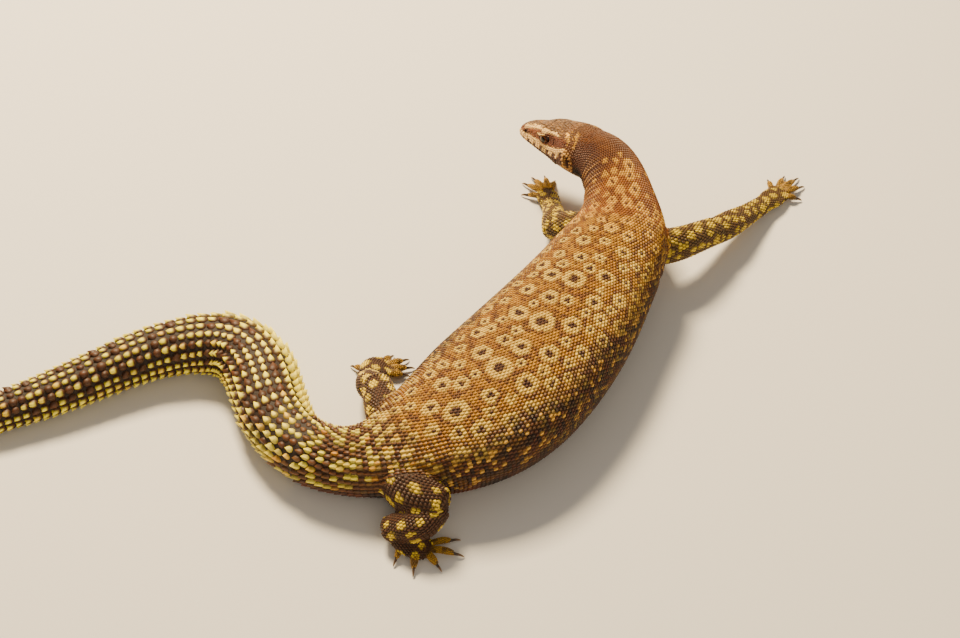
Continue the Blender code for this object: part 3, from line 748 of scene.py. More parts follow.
def painted_object(name, data, colour, finish):
    """A smooth object with its finish and a colour for each vertex."""
    data.shade_smooth()
    solid = np.ones((len(colour), 1))
    attribute(data, "hide_colour", "FLOAT_COLOR", np.concatenate((colour, solid), axis=1))
    data.materials.append(finish)
    return new_object(name, data)


def trunk_surface(s, angle):
    """The skin under the coat of the trunk, which is thinner on the tail."""
    s = np.asarray(s, float)
    depth = COAT["trunk"] + (COAT["tail"] - COAT["trunk"]) * smooth(s, TAIL_FROM - 6, TAIL_FROM)
    return trunk.surface(s, angle, -depth)


def ring_of(surface, s, sides):
    """One ring of points of a surface."""
    return surface(np.full(sides, s), around(sides))


def drawn_in(ring, share):
    """A ring made smaller about its middle."""
    middle = ring.mean(axis=0)
    return middle + (ring - middle) * share


def add_tube(mesh, tube, start, spacing, sides):
    """The shell of a limb's length or a digit, up to its rounded end."""
    finish = tube.length + tube.nose - tube.coat
    count = max(3, int(round((finish - start) / spacing)) + 1)
    add_rings(mesh, [ring_of(tube.surface, s, sides) for s in np.linspace(start, finish, count)])


def build_body():
    """Every shell of the body but the head, one through another."""
    mesh = bmesh.new()
    rings = [drawn_in(ring_of(trunk_surface, s, TRUNK_SIDES), 0.86)
             for s in np.arange(trunk.station(1.5), JOINT - 0.5, 1.0)]
    rings += [ring_of(trunk_surface, s, TRUNK_SIDES) for s in np.arange(JOINT, trunk.length, 1.0)]
    tip = ring_of(trunk_surface, trunk.length, TRUNK_SIDES)
    add_rings(mesh, [*rings, tip, drawn_in(tip, 0.5)])
    for tube in limb_tubes:
        add_tube(mesh, tube, tube.coat - tube.heel, 0.8, LIMB_SIDES)
    for tube in digit_tubes:
        add_tube(mesh, tube, 0.0, 0.4, DIGIT_SIDES)
    return mesh_data(mesh, "skin")


def build_head():
    """The head as one fine loft, finest round the eyes and the mouth."""
    places = np.concatenate((
        (0.0, 0.15, 0.4, 0.7),
        np.arange(1.0, 11.5, 0.4),
        np.arange(11.5, 21.5, 0.24),
        np.arange(21.5, HEAD_LENGTH, 0.42),
        (HEAD_LENGTH + 0.2,),
    ))
    mesh = bmesh.new()
    add_rings(mesh, [ring_of(head.surface, u, HEAD_SIDES) for u in places])
    return mesh_data(mesh, "front")


def build_skin():
    """One closed skin: the body's shells melted together and the head joined to them."""
    body = new_object("skin", build_body())
    melt = body.modifiers.new("melt", "REMESH")
    melt.mode = "VOXEL"
    melt.voxel_size = SKIN_GRAIN
    freeze(body)
    front = new_object("front", build_head())
    join = body.modifiers.new("join", "BOOLEAN")
    join.operation = "UNION"
    join.solver = "MANIFOLD"
    join.object = front
    freeze(body)
    bpy.data.objects.remove(front)
    return body


class Roots:
    """Places where scales grow, with the way they face, their sizes and their colour.

    Whole is the share in which the colour also covers the dark front and sides of a spine.
    """

    fields = ("place", "normal", "along", "width", "length", "height", "s", "arc", "girth",
              "row", "uv", "colour", "whole")

    def __init__(self, **values):
        count = len(values["s"])
        plain = {"colour": np.zeros((count, 3)), "whole": np.ones(count)}
        for field, value in {**plain, **values}.items():
            setattr(self, field, value)

    def __len__(self):
        return len(self.s)

    def keep(self, mask):
        for field in self.fields:
            setattr(self, field, getattr(self, field)[mask])
        return self

    def face_out(self, form):
        """Turn round the directions that point into the form."""
        wrong = ((self.place - form.middle(self.s)) * self.normal).sum(axis=1) < 0
        self.normal[wrong] *= -1
        return self


def joined(groups):
    return Roots(**{field: np.concatenate([getattr(group, field) for group in groups])
                    for field in Roots.fields})


def face_roots(surface, s, angle):
    """Place, outward direction, lengthwise direction and stretch at points of a surface."""
    step = 0.05
    swing = 0.02
    place = surface(s, angle)
    turn = surface(s, angle + swing) - surface(s, angle - swing)
    along = surface(s + step, angle) - surface(s - step, angle)
    stretch = np.linalg.norm(along, axis=1) / (2 * step)
    along = along / np.maximum(np.linalg.norm(along, axis=1), 1e-9)[:, None]
    normal = np.cross(along, turn)
    normal = normal / np.maximum(np.linalg.norm(normal, axis=1), 1e-9)[:, None]
    return place, normal, along, stretch


def lattice(surface, start, finish, pitch_at, step_at, stagger, swell):
    """Rows of roots across a tube, counted off by arc from the upper midline."""
    half = 120
    fine = np.linspace(-math.pi, math.pi, 2 * half + 1)
    swollen = np.ones(len(fine)) if swell is None else swell(fine)
    between = 0.5 * (swollen[1:] + swollen[:-1])
    found = []
    s = start
    row = 0
    while s < finish:
        pitch = float(pitch_at(s))
        ring = surface(np.full(len(fine), s), fine + math.pi / 2)
        steps = np.linalg.norm(np.diff(ring, axis=0), axis=1)
        arc = np.concatenate(([0.0], np.cumsum(steps)))
        arc = arc - arc[half]
        even = np.concatenate(([0.0], np.cumsum(steps / between)))
        even = even - even[half]
        offset = stagger * (row % 2)
        first = math.ceil(even[0] / pitch - offset)
        last = math.floor(even[-1] / pitch - offset)
        wanted = (np.arange(first, last + 1) + offset) * pitch
        # Where the first and the last would crowd each other under the belly, one is enough.
        if len(wanted) > 2 and (even[-1] - even[0]) - (wanted[-1] - wanted[0]) < 0.55 * pitch:
            wanted = wanted[:-1]
        step = float(step_at(s))
        for turn in np.interp(wanted, even, fine):
            size = pitch * np.interp(turn, fine, swollen)
            found.append((s, np.interp(turn, fine, arc), turn + math.pi / 2,
                          arc[-1] - arc[0], size, step, row))
        s += step
        row += 1
    return np.array(found)


def tube_roots(surface, start, finish, pitch_at, step_at, height, stagger=0.5, swell=None,
               overlap=1.12, unrest=None):
    """Scale roots over a whole tube."""
    rows = lattice(surface, start, finish, pitch_at, step_at, stagger, swell)
    s, arc, angle, girth, size, step, row = rows.T
    if unrest:
        loose = unrest(s)
        s = np.clip(s + loose * step * (jitter(len(s), 61) - 0.5), start, finish)
        angle = angle + loose * size * (jitter(len(s), 62) - 0.5) * 2 * math.pi / girth
    place, normal, along, stretch = face_roots(surface, s, angle)
    share = (s - start) / (finish - start)
    uv = np.stack((0.5 + arc / girth * 0.98, share), axis=1)
    return Roots(
        place=place, normal=normal, along=along, width=size * 0.97,
        length=step * overlap * np.clip(stretch, 0.35, 1.6), height=size * height,
        s=s, arc=arc, girth=girth, row=row, uv=uv,
    )


def sieve(groups, shares):
    """Drop roots that crowd those already kept, group by group."""
    cell = 3.0
    steps = list(itertools.product((-1, 0, 1), repeat=3))
    grid = {}
    for group, share in zip(groups, shares):
        mask = np.ones(len(group), bool)
        fresh = []
        sizes = np.minimum(group.width, group.length).tolist()
        for i, (place, size) in enumerate(zip(group.place.tolist(), sizes)):
            x, y, z = (int(value // cell) for value in place)
            near = (root for dx, dy, dz in steps for root in grid.get((x + dx, y + dy, z + dz), ()))
            mask[i] = all(math.dist(other, place) >= share * 0.5 * (size + wide) for other, wide in near)
            if mask[i]:
                fresh.append(((x, y, z), place, size))
        for key, place, size in fresh:
            grid.setdefault(key, []).append((place, size))
        group.keep(mask)


def settle(roots, tree, reach_in, reach_out):
    """Set roots on the skin, and drop those that lie deep inside it."""
    mask = np.ones(len(roots), bool)
    for i, place in enumerate(roots.place):
        spot, normal, _, distance = tree.find_nearest(Vector(place))
        normal = np.array(normal)
        depth = float((np.array(spot) - place) @ normal)
        # A root that is already close to the skin keeps its even place.
        if depth > reach_in or distance > reach_out:
            mask[i] = False
        elif distance > 0.3 or depth > 0.1:
            roots.place[i] = spot
            blended = roots.normal[i] * 0.3 + normal
            roots.normal[i] = blended / np.linalg.norm(blended)
    roots.keep(mask)


def tree_of_roots(groups):
    """The roots of named groups for a search by place, with the name, number and cover of each."""
    tree = KDTree(sum(len(group) for _, group in groups))
    tags = []
    for name, group in groups:
        for i, place in enumerate(group.place):
            tree.insert(Vector(place), len(tags))
            tags.append((name, i, 0.55 * max(group.width[i], group.length[i]) + 0.1))
    tree.balance()
    return tree, tags


def grains(groups, rims, points, normals, colours):
    """Small grains where the rows leave the skin bare: webs of the digits, elbows, knees and hips."""
    tree, tags = tree_of_roots([*groups.items(), *((None, rim) for rim in rims)])
    found = {name: [] for name in groups if name != "tail"}
    for k, point in enumerate(points):
        _, index, distance = tree.find(Vector(point))
        name, i, reach = tags[index]
        if name in found and distance > reach and point[2] > GRAIN_WIDTH:
            found[name].append((k, i))
    made = {}
    for name, pairs in found.items():
        if not pairs:
            continue
        k, i = np.array(pairs).T
        group = groups[name]
        away = points[k] - group.place[i]
        across = np.cross(group.along[i], group.normal[i])
        pace = np.ptp(group.uv[:, 1]) / np.ptp(group.s)
        offset = np.stack(((away * across).sum(axis=1) / group.girth[i],
                           (away * group.along[i]).sum(axis=1) * pace), axis=1)
        size = np.full(len(k), GRAIN_WIDTH)
        made[name] = head_holes(Roots(
            place=points[k], normal=normals[k], along=group.along[i] + 0.3 * group.normal[i],
            width=size, length=size, height=size * GRAIN_RISE, s=group.s[i], arc=group.arc[i],
            girth=group.girth[i], row=group.row[i], uv=group.uv[i] + offset, colour=colours[k, :3],
        ))
    return made


def scale_shape(name, mid, mid_height, front, rear, square, taper=0.0):
    """One small scale: a sunk outline, a shoulder ring and a ridge that rises to the rear.

    Width and length are one and the height above the skin is one before each root's sizes.
    """
    mesh = bmesh.new()
    angle = around(SCALE_SIDES) - math.pi / 2
    size = rounded(angle, square)
    x = 0.5 * size * np.cos(angle)
    y = 0.5 * size * np.sin(angle)
    x = x * (1 - taper * y)
    base = [mesh.verts.new((a, b, -0.5)) for a, b in zip(x, y)]
    top = [mesh.verts.new((a * mid, b * mid, mid_height)) for a, b in zip(x, y)]
    fore = mesh.verts.new((0.0, front[0], front[1]))
    aft = mesh.verts.new((0.0, rear[0], rear[1]))
    pairs = [(i, (i + 1) % SCALE_SIDES) for i in range(SCALE_SIDES)]
    ahead = [y[i] + y[j] < -0.02 for i, j in pairs]
    for i, j in pairs:
        mesh.faces.new((base[i], base[j], top[j], top[i]))
    for i, j in pairs:
        mesh.faces.new((top[i], top[j], fore if ahead[i] else aft))
    for i, _ in pairs:
        if ahead[i - 1] != ahead[i]:
            mesh.faces.new((fore, aft, top[i]))
    for i, j in pairs[1:-1]:
        mesh.faces.new((base[0], base[j], base[i]))
    bmesh.ops.triangulate(mesh, faces=mesh.faces[:])
    data = mesh_data(mesh, name)
    data.shade_smooth()
    attribute(data, "local", "FLOAT_VECTOR", corners(data))
    return new_object(name, data)


def add_node(tree, kind, settings=None, inputs=None):
    """One node with its settings, values and links."""
    node = tree.nodes.new(kind)
    for key, value in (settings or {}).items():
        setattr(node, key, value)
    for key, value in (inputs or {}).items():
        if isinstance(value, bpy.types.NodeSocket):
            tree.links.new(value, node.inputs[key])
        else:
            node.inputs[key].default_value = value
    return node


def coat_tree():
    """Scales on the roots of a piece, made real, with each one's patch of the map."""
    tree = bpy.data.node_groups.new("scale_coat", "GeometryNodeTree")
    for name, kind, value in (
        ("Roots", "NodeSocketGeometry", None), ("Scale shape", "NodeSocketObject", None),
        ("Finish", "NodeSocketMaterial", None), ("Size variation", "NodeSocketFloat", 0.07),
        ("Map patch", "NodeSocketFloat", 0.003), ("Seed", "NodeSocketInt", SEED),
    ):
        socket = tree.interface.new_socket(name, in_out="INPUT", socket_type=kind)
        if value is not None:
            socket.default_value = value
    tree.interface.new_socket("Coat", in_out="OUTPUT", socket_type="NodeSocketGeometry")
    given = add_node(tree, "NodeGroupInput")
    shape = add_node(tree, "GeometryNodeObjectInfo", None, {"Object": given.outputs["Scale shape"]})
    turn, size, local, root = (
        add_node(tree, "GeometryNodeInputNamedAttribute", {"data_type": "FLOAT_VECTOR"}, {"Name": name})
        for name in ("turn", "size", "local", "root_uv"))
    low, high = (
        add_node(tree, "ShaderNodeMath", {"operation": operation},
                 {0: 1.0, 1: given.outputs["Size variation"]})
        for operation in ("SUBTRACT", "ADD"))
    chance = add_node(tree, "FunctionNodeRandomValue", {"data_type": "FLOAT"}, {
        2: low.outputs[0], 3: high.outputs[0], "Seed": given.outputs["Seed"]})
    sized = add_node(tree, "ShaderNodeVectorMath", {"operation": "SCALE"},
                     {0: size.outputs[0], "Scale": chance.outputs[1]})
    placed_on = add_node(tree, "GeometryNodeInstanceOnPoints", None, {
        "Points": given.outputs["Roots"], "Instance": shape.outputs["Geometry"],
        "Rotation": turn.outputs[0], "Scale": sized.outputs[0]})
    real = add_node(tree, "GeometryNodeRealizeInstances", None,
                    {"Geometry": placed_on.outputs["Instances"]})
    spread = add_node(tree, "ShaderNodeVectorMath", {"operation": "SCALE"},
                      {0: local.outputs[0], "Scale": given.outputs["Map patch"]})
    spot = add_node(tree, "ShaderNodeVectorMath", {"operation": "ADD"},
                    {0: root.outputs[0], 1: spread.outputs[0]})
    stored = add_node(tree, "GeometryNodeStoreNamedAttribute",
                      {"data_type": "FLOAT2", "domain": "CORNER"},
                      {"Geometry": real.outputs["Geometry"], "Name": "OFBake",
                       "Value": spot.outputs[0]})
    painted = add_node(tree, "GeometryNodeSetMaterial", None, {
        "Geometry": stored.outputs["Geometry"], "Material": given.outputs["Finish"]})
    add_node(tree, "NodeGroupOutput", None, {"Coat": painted.outputs["Geometry"]})
    return tree


def euler_of(across, along, normal):
    """XYZ turns that set a scale's own axes along these three."""
    matrix = np.stack((across, along, normal), axis=-1)
    ry = np.arcsin(np.clip(-matrix[:, 2, 0], -1.0, 1.0))
    rx = np.arctan2(matrix[:, 2, 1], matrix[:, 2, 2])
    rz = np.arctan2(matrix[:, 1, 0], matrix[:, 0, 0])
    return np.stack((rx, ry, rz), axis=1)


def coat_piece(name, roots, shape, finish, tree, variation=0.07):
    """Real scales on the roots, as one plain mesh."""
    data = bpy.data.meshes.new(name)
    data.from_pydata([tuple(p) for p in placed(roots.place)], [], [])
    normal = roots.normal
    along = roots.along - normal * (roots.along * normal).sum(axis=1)[:, None]
    along = along / np.linalg.norm(along, axis=1)[:, None]
    turn = euler_of(np.cross(along, normal), along, normal)
    size = np.stack((roots.width, roots.length, roots.height), axis=1) * MM
    uv = np.concatenate((roots.uv, np.zeros((len(roots), 1))), axis=1)
    helpers = {"turn": turn, "size": size, "root_uv": uv}
    for key, values in helpers.items():
        attribute(data, key, "FLOAT_VECTOR", values)
    colour = np.concatenate((roots.colour, roots.whole[:, None]), axis=1)
    attribute(data, "hide_colour", "FLOAT_COLOR", colour)
    made = new_object(name, data)
    step = made.modifiers.new("coat", "NODES")
    step.node_group = tree
    values = {"Scale shape": shape, "Finish": finish, "Size variation": variation, "Seed": SEED}
    for item in tree.interface.items_tree:
        if item.item_type == "SOCKET" and item.name in values:
            step[item.identifier] = values[item.name]
    freeze(made)
    points = corners(made.data)
    points[:, 2] = np.maximum(points[:, 2], FLOOR_GAP)
    move_corners(made.data, points)
    for key in helpers:
        found = made.data.attributes.get(key)
        if found:
            made.data.attributes.remove(found)
    return made


def thrown(marks, start, finish, reach, small, large, gap, seed, tries=9000):
    """The given marks with more thrown in where there is room for them."""
    chance = random.Random(seed)
    marks = [tuple(map(float, mark)) for mark in marks]
    for _ in range(tries):
        s = chance.uniform(start, finish)
        a = chance.uniform(-reach, reach)
        r = chance.uniform(small, large)
        if all(math.hypot(s - t, a - b) > (r + q) + gap for t, b, q in marks):
            marks.append((s, a, r))
    return np.array(marks)


def nearest_mark(s, arc, marks, stretch=1.0):
    """Distance to the nearest mark in its own radii, and that mark's radius."""
    away = np.hypot((s[:, None] - marks[:, 0]) / stretch, arc[:, None] - marks[:, 1])
    away = away / marks[:, 2]
    nearest = np.argmin(away, axis=1)
    return away[np.arange(len(s)), nearest], marks[nearest, 2]


MARKS = thrown(RINGS, 74.0, 192.0, 46.0, 1.7, 2.9, 0.9, SEED)
NECK_MARKS = thrown(NECK_RINGS, 66.0, 74.0, 30.0, 1.5, 2.0, 1.2, 11)
NECK_PATCHES = thrown(NECK_SPOTS, 50.0, 74.0, 30.0, 0.8, 1.2, 2.6, 12)
RUMP_PATCHES = thrown(RUMP_SPOTS, 196.0, 236.0, 34.0, 1.5, 2.1, 1.0, 7)


def nape_colour(roots, fine, soft):
    """Dark nape, golden neck with stretched rings, and the creases of its inner side, with painted
    highlights on their crests and painted shade in their troughs.
    """
    s, arc = roots.s, roots.arc
    rand = jitter(len(s), 7)
    ground = mix(PAINT["nape"], PAINT["neck"], smooth(s + soft * 3 + 0.25 * arc, 43.0, 54.0))
    ground = mix(ground, PAINT["net"], np.clip(0.25 - fine, 0, 0.5))
    inner = smooth(-arc + soft * 2, 4.0, 9.0) * (1 - smooth(s, 47.0, 57.0))
    ground = mix(ground, PAINT["neck_side"], inner * 0.85)
    near, _ = nearest_mark(s, arc, NECK_MARKS, 1.25)
    ring = smooth(near, 0.26, 0.42) * (1 - smooth(near, 0.92, 1.12))
    ground = mix(ground, PAINT["neck_cream"], ring * (0.8 + 0.2 * rand))
    ground = mix(ground, PAINT["net"], (1 - smooth(near, 0.28, 0.42)) * 0.85)
    patch, _ = nearest_mark(s, arc, NECK_PATCHES, 1.25)
    strength = 0.3 + 0.4 * (roots.arc > -14.0)
    ground = mix(ground, PAINT["neck_cream"], (1 - smooth(patch, 0.8, 1.15)) * strength)
    angle = math.pi / 2 + 2 * math.pi * arc / roots.girth
    wave, reach = neck_crease(s, angle)
    # Painted highlight on the crests of the creases and painted shade in their troughs.
    ground = mix(ground, PAINT["fold_painted_highlight"], smooth(wave, 0.1, 0.8) * reach * 0.7)
    return mix(ground, PAINT["neck_side"], smooth(-wave, 0.0, 0.7) * reach * 0.9)


def rump_colour(roots, fine):
    """Dark brown with yellow patches parted by dark lines."""
    s = roots.s
    rand = jitter(len(s), 8)
    near, _ = nearest_mark(s, roots.arc, RUMP_PATCHES)
    colour = mix(PAINT["rump"], PAINT["net"], np.clip(0.3 + fine, 0, 0.6))
    side = smooth(np.abs(roots.arc), 13.0, 19.0) * (1 - smooth(s, 208.0, 222.0))
    yellow = mix(PAINT["cream"], PAINT["rump_yellow"], smooth(s, 194.0, 214.0))
    orange = mix(PAINT["tail_orange"], yellow, smooth(rand, 0.0, 0.2))
    share = (1 - smooth(near, 0.9, 1.15)) * (0.8 + 0.2 * rand)
    return mix(colour, orange, share * (1 - side * (rand < 0.8)))


def trunk_colour(roots):
    """Ringed back, dark flanks with pale specks, golden neck and patched rump; the flanks' darkness is
    partly their own colour and partly painted shade, their specks partly painted glints, and the belly
    edge is painted shade in dark brown and rust.
    """
    s, arc = roots.s, roots.arc
    rand = jitter(len(s), 5)
    shade = jitter(len(s), 6)
    soft = clouds(roots.place, 7.0)
    fine = clouds(roots.place, 2.6, 9.0)
    wide = np.abs(arc)
    near, radius = nearest_mark(s, arc, MARKS)
    rear = smooth(s, 145.0, 170.0)
    side = smooth(wide + soft * 4 + 4 * rear, 17.0, 28.0)
    # Ground between the rings: golden scales with single dark ones strewn among them.
    light = np.clip(0.5 + 0.8 * fine + 0.4 * (shade - 0.5), 0, 1)
    colour = mix(PAINT["back"], PAINT["back_light"], light)
    # The flanks darken into dark brown, partly their own colour and partly painted shade of the lower
    # sides.
    ground = mix(PAINT["flank"], PAINT["back"], np.clip(0.05 + 0.7 * fine, 0, 0.4))
    colour = mix(colour, ground, side * 0.97)
    dark = rand < 0.16 + 0.4 * np.clip(0.2 - fine - 0.5 * soft, 0, 1) + 0.12 * side
    colour = mix(colour, PAINT["net"], dark * 0.75 * (near > 1.05))
    colour = mix(colour, PAINT["net"], hill(near - 1.24, 0.24) * (0.3 + 0.4 * shade) * (1 - side))
    # Pale single scales on the flanks: partly their own colour, partly painted glints on their keels.
    spark = (rand > 0.8) & (near > 1.05)
    low = smooth(wide / roots.girth, 0.25, 0.31)
    spark = spark * side * (1 - smooth(wide, 28.0, 42.0))
    colour = mix(colour, PAINT["flank_speck_and_glint"], spark * 0.9)
    # Rings with their dark hearts, broken up into single scales on the flanks.
    heart_size = 0.32 + 0.035 * np.clip(radius - 2.0, 0, 2.5)
    strength = (1 - (0.7 + 0.28 * rear) * smooth(wide, 17.0, 28.0)) * (1 - 0.85 * side * (shade > 0.4))
    strength = np.clip(strength * (0.88 + 0.2 * rand), 0, 1)
    ring = smooth(near, heart_size, heart_size + 0.13) * (1 - smooth(near, 0.92, 1.08))
    heart = 1 - smooth(near, heart_size, heart_size + 0.1)
    cream = mix(PAINT["neck_cream"], PAINT["cream"], smooth(s, 70.0, 92.0))
    colour = mix(colour, cream, ring * strength)
    colour = mix(colour, PAINT["ring_heart"], heart * np.clip(strength + 0.2, 0, 1) * 0.95)
    colour = mix(nape_colour(roots, fine, soft), colour, smooth(s + soft * 2, 70.0, 76.0))
    colour = mix(colour, rump_colour(roots, fine), smooth(s + soft * 3 + wide * 0.1, 191.0, 200.0))
    # Painted shade on the belly edge, dark brown warming to rust towards the rump.
    warm = (0.3 + 0.7 * smooth(s, 150.0, 185.0)) * np.clip(0.6 - 1.2 * soft - 0.4 * fine, 0, 1)
    belly = mix(PAINT["belly_painted_shade"], PAINT["belly"], warm)
    colour = mix(colour, belly, low)
    under = smooth(wide / roots.girth, 0.33, 0.40) * (1 - smooth(s, 70.0, 90.0))
    colour = mix(colour, PAINT["throat"], under * 0.7)
    return colour * (0.88 + 0.24 * shade[:, None])


def tail_colour(roots):
    """Single pale spines on dark brown, ring by ring, and all pale along both edges."""
    s = roots.s
    count = len(s)
    rand = jitter(count, 15)
    shade = jitter(count, 16)
    turn = roots.arc / roots.girth
    drift = clouds(np.stack((roots.arc, s * 0.6, 0 * s), axis=1), 7.0, 4.0)
    beat = np.cos(math.pi * roots.row + 3.4 * drift)
    left = smooth(-turn, 0.07, 0.12)
    right = smooth(turn, 0.19, 0.25)
    bare = smooth(s, 300.0, 360.0) * 0.15
    edge = 2.0 - 1.5 * smooth(s, 285.0, 315.0)
    pale = (0.7 * beat + edge * left + 1.1 * right + 1.2 * (rand - 0.5) > bare - 0.4).astype(float)
    upper = 1 - smooth(np.abs(turn), 0.3, 0.4)
    yellow = mix(PAINT["rump_yellow"], PAINT["tail_yellow"], smooth(s, 230.0, 262.0))
    amber = np.clip(1.4 * clouds(roots.place, 4.5, 8.0) - 0.25, 0, 0.6) * (1 - left)
    yellow = mix(yellow, PAINT["tail_orange"], amber)
    dull = mix(PAINT["tail"], PAINT["net"], np.clip(0.5 * shade, 0, 0.5))
    colour = mix(dull, yellow, pale)
    early = jitter(count, 17) > smooth(s, WHORLS_FROM - 2.0, WHORLS_FROM + 9.0)
    colour = mix(colour, rump_colour(roots, clouds(roots.place, 2.6, 9.0)), early.astype(float))
    # Painted shade on the underside of the tail, in the belly edge's colour.
    colour = mix(colour, PAINT["belly"], (1 - upper) * 0.5 * (1 - smooth(s, 270.0, 330.0)))
    return colour * (0.86 + 0.26 * shade[:, None])


def limb_colour(roots, tube, seed):
    """Round yellow spots on dark hind legs, closer and duller ones on olive arms."""
    arm = tube.limb.startswith("arm")
    ground = PAINT["arm"] if arm else PAINT["leg"]
    bright = PAINT["arm_yellow"] if arm else PAINT["leg_yellow"]
    reach = roots.girth.max() / 2
    gap = 0.5 if arm else 1.5
    marks = thrown((), -2.0, tube.length + 2.0, reach, 1.2, 2.0, gap, seed, 2500)
    near, _ = nearest_mark(roots.s, roots.arc, marks)
    fine = clouds(roots.place, 1.5, 6.0)
    share = 1 - smooth(near + 0.25 * fine, 0.75, 1.15)
    colour = mix(ground, PAINT["net"], np.clip(0.15 + 0.5 * fine, 0, 0.4))
    colour = mix(colour, bright, share * (0.75 + 0.25 * jitter(len(roots), 25)))
    return colour * (0.86 + 0.26 * jitter(len(roots), 26)[:, None])


def digit_colour(roots, limb):
    """Tan fingers and toes with dark patches."""
    rand = jitter(len(roots), 35)
    spots = clouds(roots.place, 1.8, 3.0)
    dark = PAINT["arm"] if limb.startswith("arm") else PAINT["leg"]
    colour = mix(PAINT["digit"], dark, smooth(spots, 0.0, 0.3) * 0.7)
    return colour * (0.82 + 0.34 * rand[:, None])


def band(u, w, line, half):
    """One along a band of the head that follows the line, given as u and w, with soft edges."""
    stations, heights = zip(*line)
    return hill(w - np.interp(u, stations, heights), half * 1.7)


def along_band(u, line, ease=0.8):
    """One between the ends of a band."""
    return smooth(u, line[0][0] - ease, line[0][0]) * (1 - smooth(u, line[-1][0], line[-1][0] + ease))


def head_colour(place):
    """Crown plates, cream brow and lip stripes, dark bars and the streak through the eye."""
    u, v, w = head_parts(place)
    count = len(u)
    rand = jitter(count, 45)
    fine = clouds(place, 1.3, 5.0)
    soft = clouds(place, 4.0, 2.0)
    colour = mix(PAINT["crown"], PAINT["crown_light"], np.clip((rand - 0.6) * 1.8 + 0.7 * fine, 0, 0.8))
    colour = mix(colour, PAINT["crown_dark"], np.clip((0.25 - rand) * 2.5 - 0.8 * fine, 0, 0.7))
    colour = mix(colour, PAINT["nape"], smooth(u + soft * 2, 23.0, 31.0) * 0.85)
    side = smooth(np.abs(v), 3.8, 5.6)
    flank = smooth(np.abs(v), 2.0, 3.2)
    brow_height = np.interp(u, *zip(*BROW_LINE))
    lip_height = np.interp(u, *zip(*LIP_LINE))
    # Cheek and the face in front of the eye.
    face = mix(PAINT["cheek"], PAINT["crown_dark"], np.clip(0.2 + fine, 0, 1))
    below = smooth(brow_height - w, 0.0, 0.8) * flank * (1 - smooth(u, 28.0, 31.0) * (w > -1.0))
    colour = mix(colour, face, below)
    # Dark almond through the eye to the temple.
    streak_low = np.interp(u, (13.0, 15.0, 17.0, 21.0, 26.0, 28.0), (3.0, 2.1, 1.6, 2.1, 3.4, 4.6))
    streak_top = np.interp(u, (13.0, 15.0, 17.0, 21.0, 26.0, 28.0), (3.2, 4.1, 5.0, 5.6, 5.8, 5.0))
    streak = smooth(w - streak_low, -0.2, 0.3) * smooth(streak_top - w, -0.2, 0.3)
    streak = streak * smooth(u, 12.8, 13.6) * (1 - smooth(u, 27.4, 28.2)) * side
    colour = mix(colour, PAINT["eye_streak"], streak * 0.95)
    # Upper lip: cream above, dark triangles that widen down to the mouth.
    lip = smooth(lip_height - w, 0.2, 0.9) * smooth(np.abs(v), 1.5, 3.0) * (1 - smooth(u, 26.5, 28.0))
    bars = np.cos((u - 15.0) * 2 * math.pi / 3.75)
    depth = np.clip((lip_height - 1.0 - w) / 2.6, 0, 1)
    toned = mix(PAINT["face_cream"], PAINT["face_dark"], smooth(bars + 2.3 * depth, 0.4, 0.9))
    colour = mix(colour, toned, lip)
    lean = np.degrees(np.arctan2(w, np.abs(v)))
    jaw = smooth(-lean, 22.0, 28.0) * (1 - smooth(u, 24.0, 27.0) * (lean > -40))
    under = mix(PAINT["throat"], PAINT["cheek"], np.clip(0.3 + fine, 0, 0.6))
    colour = mix(colour, under, jaw)
    # Cream stripes of brow, lid edge and lip.
    for line, half, reach in ((BROW_LINE, 0.4, flank), (SPUR_LINE, 0.3, side), (LIP_LINE, 0.7, flank)):
        stripe = np.clip(band(u, w, line, half) * 1.7, 0, 1) * along_band(u, line) * reach
        colour = mix(colour, PAINT["face_cream"], stripe * 0.96)
    # Pale strokes behind the eye and round the ear.
    for a, b, long, wide, lean_by in TEMPLE_STROKES:
        du = (u - a) * math.cos(lean_by) + (w - b) * math.sin(lean_by)
        dw = (w - b) * math.cos(lean_by) - (u - a) * math.sin(lean_by)
        stroke = 1 - smooth(np.hypot(du / long, dw / wide), 0.75, 1.15)
        colour = mix(colour, PAINT["neck_cream"], stroke * smooth(np.abs(v), 3.0, 4.5) * 0.9)
    ear = ear_reach(u, w)
    patchy = np.clip(0.75 + 0.8 * fine, 0, 1)
    colour = mix(colour, PAINT["ear"], hill(ear - 1.5, 0.75) * side * patchy)
    # The ear opening and the nostril are painted dark: painted shade in their hollows.
    colour = mix(colour, PAINT["face_dark"], (1 - smooth(ear, 0.8, 1.1)) * side)
    pit = nostril_reach(u, w)
    colour = mix(colour, PAINT["face_dark"], (1 - smooth(pit, 0.6, 1.2)) * flank)
    return colour * (0.88 + 0.22 * jitter(count, 46)[:, None]) * (1 + 0.1 * soft[:, None])


def trunk_pitch(s):
    """Width of the scales along neck and trunk."""
    return np.interp(s, (30, 46, 62, 85, 185, 202, 218, 231),
                     (0.9, 0.95, 1.05, 1.2, 1.25, 1.6, 2.1, 2.6))


def trunk_swell(turn):
    """Growth of the scales from the middle of the back to the flanks and the belly."""
    half = np.abs(turn)
    return 1 + 0.15 * smooth(half, 0.5, 1.3) + 0.25 * smooth(half, 1.9, 2.4)


